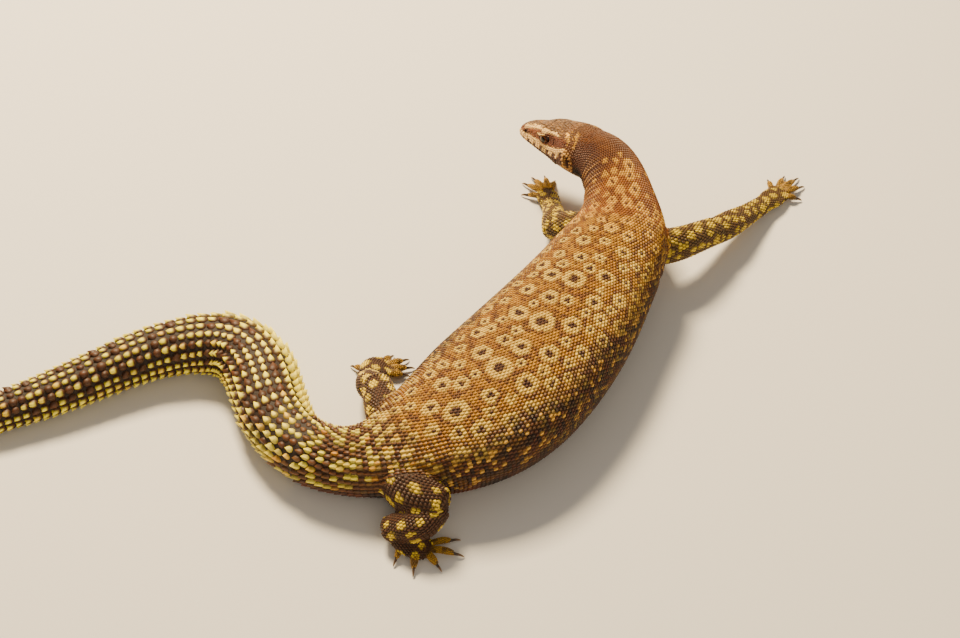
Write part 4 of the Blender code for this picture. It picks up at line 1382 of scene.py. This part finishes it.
def trunk_roots():
    """Rows of keeled scales from the nape to the rump."""
    roots = tube_roots(
        trunk_surface, JOINT - NAPE_LENGTH, WHORLS_FROM - 1.4, trunk_pitch,
        lambda s: 0.96 * trunk_pitch(s), 0.3, swell=trunk_swell, overlap=1.28,
        unrest=lambda s: 0.6 * (1 - smooth(s, JOINT - 4.0, JOINT + 9.0)))
    belly = smooth(np.abs(roots.arc) / roots.girth, 0.3, 0.38)
    roots.height = roots.height * (1 - 0.6 * belly) * (1 + 0.5 * smooth(roots.s, 200.0, 231.0))
    return roots.face_out(trunk)


def whorl_width(s):
    """Width of the scales in the tail's rings."""
    return np.interp(s, (231, 240, 256, 300, 360, 430, 503), (2.8, 3.1, 3.45, 3.45, 3.0, 2.2, 1.2))


def whorl_length(s):
    """Distance from one ring of the tail to the next."""
    return np.interp(s, (231, 240, 256, 300, 400, 503), (2.7, 3.0, 3.45, 3.55, 2.9, 1.7))


def tail_roots():
    """Rings of keeled scales in straight columns, each with its spine standing up at the rear."""
    roots = tube_roots(trunk_surface, WHORLS_FROM, trunk.length - 1.5, whorl_width, whorl_length,
                       0.3, stagger=0.0, overlap=1.02)
    thin = smooth(roots.s, 300.0, trunk.length)
    turn = np.abs(roots.arc) / roots.girth
    upper = 1 - smooth(turn, 0.3, 0.4)
    risen = smooth(roots.s, WHORLS_FROM - 6.0, WHORLS_FROM + 18.0)
    tall = 0.8 + (0.8 - 0.9 * thin) * risen
    tall = tall * (1 - 0.45 * (1 - smooth(turn, 0.03, 0.17)))
    roots.height = tall * (0.3 + 0.7 * upper) * (0.85 + 0.3 * jitter(len(roots), 18))
    roots.width = roots.width * (0.98 + 0.16 * risen)
    roots.length = roots.length * (1.0 + 0.16 * risen)
    return roots.face_out(trunk)


def limb_roots(tube, pitch, height):
    """Rows of scales over one length of a limb or one digit, rounded ends included."""
    start = -tube.heel + tube.coat + 0.3
    finish = tube.length + tube.nose - tube.coat - 0.2
    roots = tube_roots(tube.surface, start, finish, lambda s: pitch, lambda s: 0.92 * pitch, height)
    return roots.face_out(tube)


def head_pitch(u):
    """Width of the head's plates, finest at the snout."""
    return np.interp(u, (0, 5, 12, 20, 26), (0.7, 0.85, 1.0, 1.02, 0.92))


def head_swell(turn):
    """Larger plates on the crown, smaller ones on the cheeks."""
    half = np.abs(turn)
    return 1.25 - 0.45 * smooth(half, 0.5, 1.1) + 0.15 * smooth(half, 1.9, 2.5)


def head_lattice():
    """Uneven plates over crown, cheeks and jaw."""
    roots = tube_roots(
        head.surface, 0.5, HEAD_LENGTH - NAPE_LENGTH + 0.6, head_pitch,
        lambda u: 0.95 * head_pitch(u), 0.19, swell=head_swell, overlap=1.1, unrest=lambda u: 0.5)
    grow = 1.05 + 0.3 * jitter(len(roots), 63)
    roots.width = roots.width * grow
    roots.length = roots.length * grow
    swing = 1.2 * (jitter(len(roots), 64) - 0.5)[:, None]
    across = np.cross(roots.along, roots.normal)
    roots.along = roots.along * np.cos(swing) + across * np.sin(swing)
    return roots.face_out(head)


def single_plates(place, normal, along, sizes, u, uv):
    """Roots of equal plates, with their width, length and height."""
    full = np.ones(len(u))
    width, length, height = sizes
    return Roots(
        place=place, normal=normal, along=along, width=full * width, length=full * length,
        height=full * height, s=u, arc=full * 0, girth=full * PLATE_GIRTH, row=full * 0, uv=uv,
    )


def snout_plates():
    """Small plates over the blunt front of the snout, in rings about its middle."""
    groups = []
    middle = head.surface(np.zeros(48), np.arange(48) * math.pi / 24).mean(axis=0)
    for share, count in ((0.05, 1), (0.4, 6), (0.74, 11), (1.0, 16)):
        angle = (np.arange(count) + share) * 2 * math.pi / count
        away = head.surface(np.zeros(count), angle) - middle
        facing = share * away / np.linalg.norm(away, axis=1)[:, None] - head_back
        facing = facing / np.linalg.norm(facing, axis=1)[:, None]
        along = np.ones((count, 1)) * head_up
        uv = np.stack((0.5 + 0.01 * share * np.cos(angle), 0.01 + 0.01 * share * np.sin(angle)), axis=1)
        groups.append(single_plates(
            middle + share * away, facing, along, (0.85, 0.82, 0.2), np.zeros(count), uv))
    return joined(groups)


def head_rows(u, lean, hand, *sizes):
    """Plates on the head at given places and angles above the side."""
    u = np.asarray(u, float)
    angle = np.where(hand > 0, lean, math.pi - lean)
    place, normal, along, _ = face_roots(head.surface, u, angle)
    uv = np.stack((0.5 + hand * lean / 8, u / HEAD_LENGTH), axis=1)
    return single_plates(place, normal, along, sizes, u, uv).face_out(head)


def stripe_rows():
    """Rows of smooth plates along the cream stripes of brow and lip."""
    groups = []
    rows = ((BROW_LINE, 0.0, 0.85, 0.0), (LIP_LINE, -0.36, 0.74, 0.5), (LIP_LINE, 0.36, 0.74, 0.0))
    for line, shift, wide, late in rows:
        u = np.arange(line[0][0] + late, line[-1][0], 1.1)
        lean = lean_at(u, np.interp(u, *zip(*line)) + shift)
        for hand in (1.0, -1.0):
            groups.append(head_rows(u, lean, hand, wide, 1.16, 0.3))
    return joined(groups)


def labials():
    """Upper and lower lip scales on both sides."""
    groups = []
    for hand in (1.0, -1.0):
        for shift, step, wide in ((0.8, 1.25, 0.95), (1.75, 1.25, 0.9), (-0.9, 1.4, 0.95)):
            u = np.arange(1.2, MOUTH_FROM_SNOUT - 0.5, step)
            v, w, _, _ = head.plain(u, head.mouth(u))
            lean = head.mouth(u) + shift / np.hypot(v, w)
            groups.append(head_rows(u, lean, hand, wide, step * 1.02, 0.34))
    return joined(groups)


def lean_at(u, w):
    """Angle above the side at which the head's surface reaches the height w."""
    lean = np.linspace(-1.4, 1.5, 400)
    found = []
    for one_u, one_w in zip(u, w):
        heights = head.plain(np.full(400, one_u), lean)[1]
        found.append(np.interp(one_w, heights, lean))
    return np.array(found)


def lid_rows():
    """Rows of small grains on the lids, round the almond opening."""
    groups = []
    for size, count, grain in ((1.2, 26, 0.5), (1.48, 28, 0.6), (1.8, 28, 0.72)):
        turn = (np.arange(count) + 0.5 * (size > 1.3)) * 2 * math.pi / count
        u = EYE_FROM_SNOUT + LID_HALF_LENGTH * size * np.cos(turn)
        tall = np.where(np.sin(turn) > 0, LID_ABOVE, LID_BELOW) * size
        w = head.lid_line(u) + tall * np.sin(turn)
        lean = lean_at(u, w)
        for hand in (1.0, -1.0):
            groups.append(head_rows(u, lean, hand, grain, grain * 1.15, 0.26))
    return joined(groups)


def ear_rows():
    """Two rings of grains round each ear opening."""
    groups = []
    for size, count, grain in ((1.3, 13, 0.75), (1.85, 14, 0.95)):
        turn = np.arange(count) * 2 * math.pi / count
        w = -EAR_DOWN + EAR_RADIUS * EAR_TALL * size * np.sin(turn)
        u = EAR_FROM_SNOUT - EAR_LEAN * (w + EAR_DOWN) + EAR_RADIUS * EAR_WIDE * size * np.cos(turn)
        lean = lean_at(u, w)
        for hand in (1.0, -1.0):
            groups.append(head_rows(u, lean, hand, grain, grain, 0.4))
    return joined(groups)


def head_holes(roots):
    """Drop roots in the eye openings, the ears and the nostrils."""
    u, v, w = head_parts(roots.place)
    side = np.abs(v) > 2.5
    eye = head.almond(u, w) < 1.1
    ear = ear_reach(u, w) < 1.1
    pit = nostril_reach(u, w) < 1.15
    return roots.keep(~((eye | ear | pit) & side & (u < HEAD_LENGTH)))


def begun_finish(name):
    """A new finish: its material, tree and surface, the colour of the hide and places in metres."""
    material = bpy.data.materials.new(name)
    material.use_nodes = True
    tree = material.node_tree
    paint = add_node(tree, "ShaderNodeAttribute", {"attribute_name": "hide_colour"})
    place = add_node(tree, "ShaderNodeTexCoord")
    return material, tree, tree.nodes["Principled BSDF"], paint, place.outputs["Object"]


def horn_finish(name, rough, shades, bump_depth, grain_mm, keel, keel_reach=0.2, front=None):
    """Dry horn-like scale: satin, with painted shade at its sunk edge, a painted highlight on its ridge
    and keel, and a dark front that is partly painted shade.
    """
    material, tree, surface, paint, place = begun_finish(name)
    local = add_node(tree, "ShaderNodeAttribute", {"attribute_name": "local"})
    parts = add_node(tree, "ShaderNodeSeparateXYZ", None, {0: local.outputs["Vector"]})
    # Growth grain on each scale, a few tenths of a millimetre, drawn coarse enough to show.
    grain = add_node(tree, "ShaderNodeTexNoise", None, {
        "Vector": place, "Scale": 1.0 / (grain_mm * MM), "Detail": 3.0})
    # Painted shade at the sunk edge of each scale, rising to a painted highlight on its top.
    shade = add_node(tree, "ShaderNodeMapRange", None, {
        "Value": parts.outputs["Z"], "From Min": -0.3, "From Max": 0.9,
        "To Min": shades[0], "To Max": shades[1]})
    speck = add_node(tree, "ShaderNodeMapRange", None, {
        "Value": grain.outputs["Fac"], "From Min": 0.3, "From Max": 0.7,
        "To Min": 0.82, "To Max": 1.14})
    level = add_node(tree, "ShaderNodeMath", {"operation": "MULTIPLY"}, {
        0: shade.outputs[0], 1: speck.outputs[0]})
    # Keel along the middle of each scale, fading to its sides: a painted highlight along it, and raised
    # by the bump.
    off = add_node(tree, "ShaderNodeMath", {"operation": "ABSOLUTE"}, {0: parts.outputs["X"]})
    ridge = add_node(tree, "ShaderNodeMapRange", {"interpolation_type": "SMOOTHSTEP"}, {
        "Value": off.outputs[0], "From Min": 0.0, "From Max": keel_reach, "To Min": 1.0, "To Max": 0.0})
    keel_highlight = add_node(tree, "ShaderNodeMath", {"operation": "MULTIPLY_ADD"}, {
        0: ridge.outputs[0], 1: keel, 2: 1.0 - 0.45 * keel})
    level = add_node(tree, "ShaderNodeMath", {"operation": "MULTIPLY"}, {
        0: level.outputs[0], 1: keel_highlight.outputs[0]})
    tint = add_node(tree, "ShaderNodeVectorMath", {"operation": "SCALE"}, {
        0: paint.outputs["Color"], "Scale": level.outputs[0]})
    colour = tint.outputs[0]
    if front:
        # The spine at the rear of the scale keeps the paint, front and sides are dark brown, partly
        # their own colour and partly painted shade between the rings.
        rear = add_node(tree, "ShaderNodeMapRange", {"interpolation_type": "SMOOTHSTEP"}, {
            "Value": parts.outputs["Y"], "From Min": front[0], "From Max": front[1]})
        middle = add_node(tree, "ShaderNodeMapRange", {"interpolation_type": "SMOOTHSTEP"}, {
            "Value": off.outputs[0], "From Min": 0.14, "From Max": 0.34, "To Min": 1.0, "To Max": 0.0})
        tip = add_node(tree, "ShaderNodeMath", {"operation": "MULTIPLY"}, {
            0: rear.outputs[0], 1: middle.outputs[0]})
        share = add_node(tree, "ShaderNodeMath", {"operation": "MAXIMUM"}, {
            0: tip.outputs[0], 1: paint.outputs["Alpha"]})
        two = add_node(tree, "ShaderNodeMix", {"data_type": "RGBA"}, {
            0: share.outputs[0], 6: (*PAINT["spine_side"], 1.0), 7: colour})
        colour = two.outputs[2]
    tree.links.new(colour, surface.inputs["Base Color"])
    gloss = add_node(tree, "ShaderNodeMapRange", None, {
        "Value": grain.outputs["Fac"], "From Min": 0.3, "From Max": 0.7,
        "To Min": rough - 0.07, "To Max": rough + 0.1})
    tree.links.new(gloss.outputs[0], surface.inputs["Roughness"])
    rise = add_node(tree, "ShaderNodeMath", {"operation": "MULTIPLY_ADD"}, {
        0: ridge.outputs[0], 1: 2.0 * keel, 2: grain.outputs["Fac"]})
    bump = add_node(tree, "ShaderNodeBump", None, {
        "Strength": 0.6, "Distance": bump_depth * MM, "Height": rise.outputs[0]})
    tree.links.new(bump.outputs[0], surface.inputs["Normal"])
    surface.inputs["IOR"].default_value = 1.5
    return material


def skin_finish():
    """Soft skin between the scales: matt, darker than they are, pebbled with tiny grains."""
    material, tree, surface, paint, place = begun_finish("granular skin")
    # Grains of about half a millimetre between the scales.
    grains = add_node(tree, "ShaderNodeTexVoronoi", None, {
        "Vector": place, "Scale": 1.0 / (0.45 * MM)})
    shade = add_node(tree, "ShaderNodeMapRange", None, {
        "Value": grains.outputs["Distance"], "From Min": 0.1, "From Max": 0.7,
        "To Min": 0.8, "To Max": 0.45})
    tint = add_node(tree, "ShaderNodeVectorMath", {"operation": "SCALE"}, {
        0: paint.outputs["Color"], "Scale": shade.outputs[0]})
    tree.links.new(tint.outputs[0], surface.inputs["Base Color"])
    bump = add_node(tree, "ShaderNodeBump", {"invert": True}, {
        "Strength": 0.6, "Distance": 0.15 * MM, "Height": grains.outputs["Distance"]})
    tree.links.new(bump.outputs[0], surface.inputs["Normal"])
    surface.inputs["Roughness"].default_value = 0.7
    return material


def glossy_finish(name, fleck_mm, detail, low, high, rough, ior):
    """Smooth, shining surface with soft flecks in its colour."""
    material, tree, surface, paint, place = begun_finish(name)
    flecks = add_node(tree, "ShaderNodeTexNoise", None, {
        "Vector": place, "Scale": 1.0 / (fleck_mm * MM), "Detail": detail})
    level = add_node(tree, "ShaderNodeMapRange", None, {
        "Value": flecks.outputs["Fac"], "From Min": 0.3, "From Max": 0.7,
        "To Min": low, "To Max": high})
    tint = add_node(tree, "ShaderNodeVectorMath", {"operation": "SCALE"}, {
        0: paint.outputs["Color"], "Scale": level.outputs[0]})
    tree.links.new(tint.outputs[0], surface.inputs["Base Color"])
    surface.inputs["Roughness"].default_value = rough
    surface.inputs["IOR"].default_value = ior
    return material


def build_eye(name, hand, finish):
    """An eyeball with pupil and iris, looking out to its side."""
    out = head_left * hand
    centre = snout + head_back * EYE_FROM_SNOUT + out * EYE_OUT + head_up * EYE_UP
    turn = 2 * math.pi * np.arange(EYE_SIDES)[:, None] / EYE_SIDES
    rings = []
    for polar in math.pi * np.arange(1, EYE_RINGS) / EYE_RINGS:
        swell = 1.0 + CORNEA * max(0.0, math.cos(polar)) ** 6
        way = (head_back * np.cos(turn) + head_up * np.sin(turn)) * math.sin(polar)
        rings.append(placed(centre + (way + out * math.cos(polar) * swell) * EYE_RADIUS))
    mesh = bmesh.new()
    add_rings(mesh, rings, (placed(centre + out * EYE_RADIUS * (1.0 + CORNEA)),
                            placed(centre - out * EYE_RADIUS)))
    data = mesh_data(mesh, name)
    away = corners(data) / MM - SHIFT - centre
    reach = np.hypot(away @ head_back, away @ head_up)
    colour = mix(PAINT["pupil"], PAINT["iris_gold"], smooth(reach, 1.0, 1.12))
    colour = mix(colour, PAINT["iris"], smooth(reach, 1.15, 1.45))
    colour = mix(colour, PAINT["eye_rim"], smooth(reach, 1.8, 2.15))
    facing = away @ out > 0
    return painted_object(name, data, np.where(facing[:, None], colour, PAINT["eye_rim"]), finish)


def build_claws(name, finish):
    """Curved claws, deeper than wide, one past the end of each digit."""
    mesh = bmesh.new()
    shades = []
    angle = np.arange(CLAW_SIDES) * 2 * math.pi / CLAW_SIDES
    for claw in claws:
        tube = Tube("claw", claw, 0.0, 80, False)
        rings = []
        for share in np.arange(CLAW_RINGS) / (CLAW_RINGS - 1):
            s = tube.length * share
            radius = 0.68 * (1 - share) ** 0.6 + 0.08
            ring = tube.middle(s) + np.outer(np.cos(angle) * radius * 0.75, tube.read(tube.side, s))
            ring = ring + np.outer(np.sin(angle) * radius * 1.1, tube.read(tube.up, s))
            ring[:, 2] = np.maximum(ring[:, 2], 0.03)
            rings.append(placed(ring))
            shades.extend([share] * CLAW_SIDES)
        add_rings(mesh, rings)
        shades.extend((0.0, 1.0))
    colour = mix(PAINT["claw_root"], PAINT["claw_tip"], smooth(np.array(shades), 0.35, 1.0))
    return painted_object(name, mesh_data(mesh, name), colour, finish)


def skin_paint(points, groups):
    """Colour of each skin vertex from the coat over it, and how far it may be softened."""
    tree, tags = tree_of_roots(groups.items())
    colours = np.ones((len(points), 4))
    weight = np.zeros(len(points))
    strength = {"trunk": 0.5, "tail": 0.35, "head": 0.0}
    for i, point in enumerate(points):
        _, index, _ = tree.find(Vector(point))
        name, j, _ = tags[index]
        weight[i] = strength.get(name, 0.08 if "digit" in name else 0.5)
        # Under the spines of rump and tail the skin is painted dark, as painted shade beneath them.
        dark = 1.0 if name == "tail" else 0.0
        if name == "trunk":
            dark = float(smooth(groups[name].s[j], 206.0, 228.0))
        colours[i, :3] = (1 - dark) * groups[name].colour[j] + dark * 0.4 * PAINT["tail"]
    u, v, w = head_parts(points)
    narrow = np.hypot(v, w) < HEAD_REACH
    on_head = (u < HEAD_LENGTH) & narrow
    colours[on_head, :3] = head_colour(points[on_head])
    weight[(np.abs(u - HEAD_LENGTH) < 2.5) & narrow] = 0.6
    return colours, weight


def relax(data, weight, rounds):
    """Move each vertex towards its neighbours' mean by its weight."""
    points = corners(data)
    count = len(points)
    ends = np.zeros(len(data.edges) * 2, np.int64)
    data.edges.foreach_get("vertices", ends)
    one, two = ends.reshape(-1, 2).T
    degree = np.bincount(one, minlength=count) + np.bincount(two, minlength=count)
    for _ in range(rounds):
        total = np.zeros_like(points)
        for axis in range(3):
            total[:, axis] = np.bincount(one, points[two, axis], count)
            total[:, axis] += np.bincount(two, points[one, axis], count)
        points += (total / np.maximum(degree, 1)[:, None] - points) * weight[:, None]
    move_corners(data, points)


def tree_of(data):
    points = [tuple(p) for p in corners(data)]
    faces = [tuple(face.vertices) for face in data.polygons]
    return BVHTree.FromPolygons(points, faces)


def hide_groups():
    """Roots of trunk, tail, limbs and digits, with their colours."""
    nape = head_holes(trunk_roots())
    nape.colour = trunk_colour(nape)
    on_head = nape.s < JOINT + 1.0
    blend = smooth(nape.s[on_head], JOINT - 2.0, JOINT + 1.0)
    nape.colour[on_head] = mix(head_colour(nape.place[on_head]), nape.colour[on_head], blend)
    tail = tail_roots()
    tail.colour = tail_colour(tail)
    inner = smooth(-tail.arc / tail.girth, 0.09, 0.15) * (1 - smooth(tail.s, 280.0, 305.0))
    tail.whole = 0.9 * np.maximum(1 - smooth(tail.s, 232.0, 250.0), inner)
    groups = {"trunk": nape, "tail": tail}
    for number, tube in enumerate(limb_tubes):
        roots = limb_roots(tube, LIMB_PITCH[number % 3], LIMB_RISE)
        roots.colour = limb_colour(roots, tube, number)
        groups[tube.name] = roots
    for tube in digit_tubes:
        roots = limb_roots(tube, DIGIT_PITCH, DIGIT_RISE)
        roots.colour = digit_colour(roots, tube.limb)
        groups[tube.name] = roots
    return groups


def head_groups():
    """Roots of lips, lids, ears, stripes and plates; only the lids may reach into an opening."""
    lids = lid_rows()
    plates = joined([snout_plates(), head_lattice()])
    groups = [head_holes(labials()), lids, head_holes(ear_rows()), head_holes(stripe_rows()),
              head_holes(plates)]
    for group in groups:
        group.colour = head_colour(group.place)
    return groups


def fit_coat(body, groups, rims):
    """Paint and soften the skin, set the coat on it, thin out crowds and fill what stays bare."""
    colours, weight = skin_paint(corners(body.data), groups)
    relax(body.data, weight, 8)
    relax(body.data, (weight > 0.55) * 0.6, 12)
    attribute(body.data, "hide_colour", "FLOAT_COLOR", colours)
    tree = tree_of(body.data)
    for name, group in groups.items():
        if name == "trunk":
            settle(group, tree, 2.0, 2.0)
        elif name != "head":
            settle(group, tree, 1.4, 1.6)
    sieve(rims, RIM_CROWDS)
    hide = [group for name, group in groups.items() if name not in ("head", "tail")]
    kept = [*rims, groups["head"], groups["tail"], *hide]
    sieve(kept, [0.0] * len(rims) + [PLATE_CROWD, 0.0] + [HIDE_CROWD] * len(hide))
    extra = grains(groups, rims, corners(body.data), corners(body.data, "normal"), colours)
    sieve(kept + list(extra.values()), [0.0] * len(kept) + [GRAIN_CROWD] * len(extra))
    for name, group in extra.items():
        groups[name] = joined([groups[name], group])


def coat_pieces(groups, rims):
    """The coat in pieces of real scales, each with the slot of its region."""
    keeled = scale_shape("keeled", 0.78, 0.3, (-0.3, 0.5), (0.4, 1.0), 2.2, 0.3)
    shield = scale_shape("shield", 0.84, 0.8, (-0.2, 0.9), (0.2, 0.92), 2.6)
    spiny = scale_shape("spiny", 0.62, 0.34, (-0.14, 0.6), (0.42, 1.0), 3.0, 0.15)
    # Back and neck: a satin sheen, with a painted highlight along each keel.
    horn = horn_finish("satin horn scale", 0.52, (0.55, 1.1), 0.12, 0.35, 0.7)
    # Tail: pale spines that stand out against their dark fronts and sides, which are partly painted
    # shade.
    tail_horn = horn_finish("spiny horn scale", 0.55, (0.5, 1.08), 0.12, 0.4, 0.3, 0.34, (-0.26, 0.06))
    # Limbs and digits: finer scales with weaker keels.
    small_horn = horn_finish("fine horn scale", 0.52, (0.6, 1.12), 0.1, 0.3, 0.5)
    # Head: smooth plates with a faint grain and no keel.
    plate_horn = horn_finish("smooth horn plate", 0.5, (0.6, 1.12), 0.06, 0.3, 0.0)
    coat = coat_tree()

    pieces = []
    back = groups["trunk"]
    for number, (start, finish) in enumerate(zip(BACK_CUTS, BACK_CUTS[1:])):
        part = joined([back]).keep((back.s >= start) & (back.s < finish))
        piece = coat_piece("coat_back_%d" % (number + 1), part, keeled, horn, coat)
        pieces.append((piece, "neck_hide" if number == 0 else "back_hide"))
    piece = coat_piece("coat_tail", groups["tail"], spiny, tail_horn, coat, 0.12)
    pieces.append((piece, "tail_hide"))
    for limb in LIMBS:
        part = [groups[tube.name] for tube in limb_tubes + digit_tubes if tube.limb == limb]
        for number, group in enumerate(part):
            group.uv = group.uv * (1 / len(part) * 0.96, 0.98) + (number / len(part) + 0.01, 0.01)
        piece = coat_piece("coat_" + limb, joined(part), keeled, small_horn, coat, 0.08)
        pieces.append((piece, "limb_hide"))
    lips, lids, ears, stripes = rims
    for name, roots, variation in (
        ("coat_head", groups["head"], 0.1),
        ("coat_lids", joined([lids, ears]), 0.1),
        ("coat_lips", joined([lips, stripes]), 0.05),
    ):
        pieces.append((coat_piece(name, roots, shield, plate_horn, coat, variation), "head_hide"))
    for shape in (keeled, shield, spiny):
        bpy.data.objects.remove(shape)
    return pieces


def make_animal():
    """Skin, coat, eyes and claws, each with its body and the solids it replaces."""
    body = build_skin()
    groups = hide_groups()
    *rims, groups["head"] = head_groups()
    fit_coat(body, groups, rims)
    move_corners(body.data, placed(corners(body.data)))
    body.data.shade_smooth()
    body.data.materials.clear()
    body.data.materials.append(skin_finish())
    pieces = coat_pieces(groups, rims)

    flesh = [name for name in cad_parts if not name.startswith("eye")]
    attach(body, "root")
    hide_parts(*flesh)
    for piece, slot in pieces:
        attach(piece, "root")
    # Iris flecks under a clear cornea with a sharp, wet highlight.
    eye = glossy_finish("moist eye", 0.35, 3.0, 0.6, 1.4, 0.08, 1.34)
    for name, hand in (("eye_left", 1.0), ("eye_right", -1.0)):
        ball = build_eye(name + "_ball", hand, eye)
        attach(ball, "root")
        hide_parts(name)
    # Dark brown at the root, a little clearer and polished to the tip.
    horn = glossy_finish("claw horn", 0.5, 2.0, 0.75, 1.2, 0.32, 1.55)
    nails = build_claws("claws", horn)
    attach(nails, "root")


def make_floor():
    """Pale matt floor, flat and wide, that takes the shadow."""
    size = 3.0
    data = bpy.data.meshes.new("floor")
    data.from_pydata(
        [(-size, -size, 0), (size, -size, 0), (size, size, 0), (-size, size, 0)], [], [(0, 1, 2, 3)])
    floor = new_object("floor", data)
    material = bpy.data.materials.new("pale matt card")
    material.use_nodes = True
    surface = material.node_tree.nodes["Principled BSDF"]
    surface.inputs["Base Color"].default_value = (*PAINT["floor"], 1.0)
    surface.inputs["Roughness"].default_value = 0.85
    data.materials.append(material)


def aimed(made, place, target):
    """Put an object in its place and turn it to look at the target."""
    made.location = place
    made.rotation_euler = (Vector(target) - made.location).to_track_quat("-Z", "Y").to_euler()


def make_light():
    """Soft warm key from the upper left of the picture, with a wide fill."""
    for name, place, size, power, colour in (
        ("key", (-0.5, 0.3, 0.8), 0.25, 31.0, (1.0, 0.8, 0.5)),
        ("fill", (0.7, -0.5, 0.6), 0.9, 2.5, (1.0, 0.88, 0.72)),
    ):
        lamp = bpy.data.lights.new(name, "AREA")
        lamp.size = size
        lamp.energy = power
        lamp.color = colour
        aimed(new_object(name, lamp), place, (0.0, 0.0, 0.01))
    world = bpy.data.worlds.new("soft room")
    world.use_nodes = True
    ground = world.node_tree.nodes["Background"]
    ground.inputs[0].default_value = (1.0, 0.92, 0.82, 1.0)
    ground.inputs[1].default_value = 0.28
    bpy.context.scene.world = world


def make_camera():
    """Above the animal's right hip, looking down on it as the photograph does."""
    lens = bpy.data.cameras.new("camera")
    lens.sensor_width = 36.0
    lens.lens = 80.4375
    lens.clip_start = 0.01
    camera = new_object("camera", lens)
    aimed(camera, placed((312.16, -388.63, 579.65)), placed((-26.2, 8.76, 0.0)))
    bpy.context.scene.camera = camera


make_animal()
make_floor()
make_light()
make_camera()
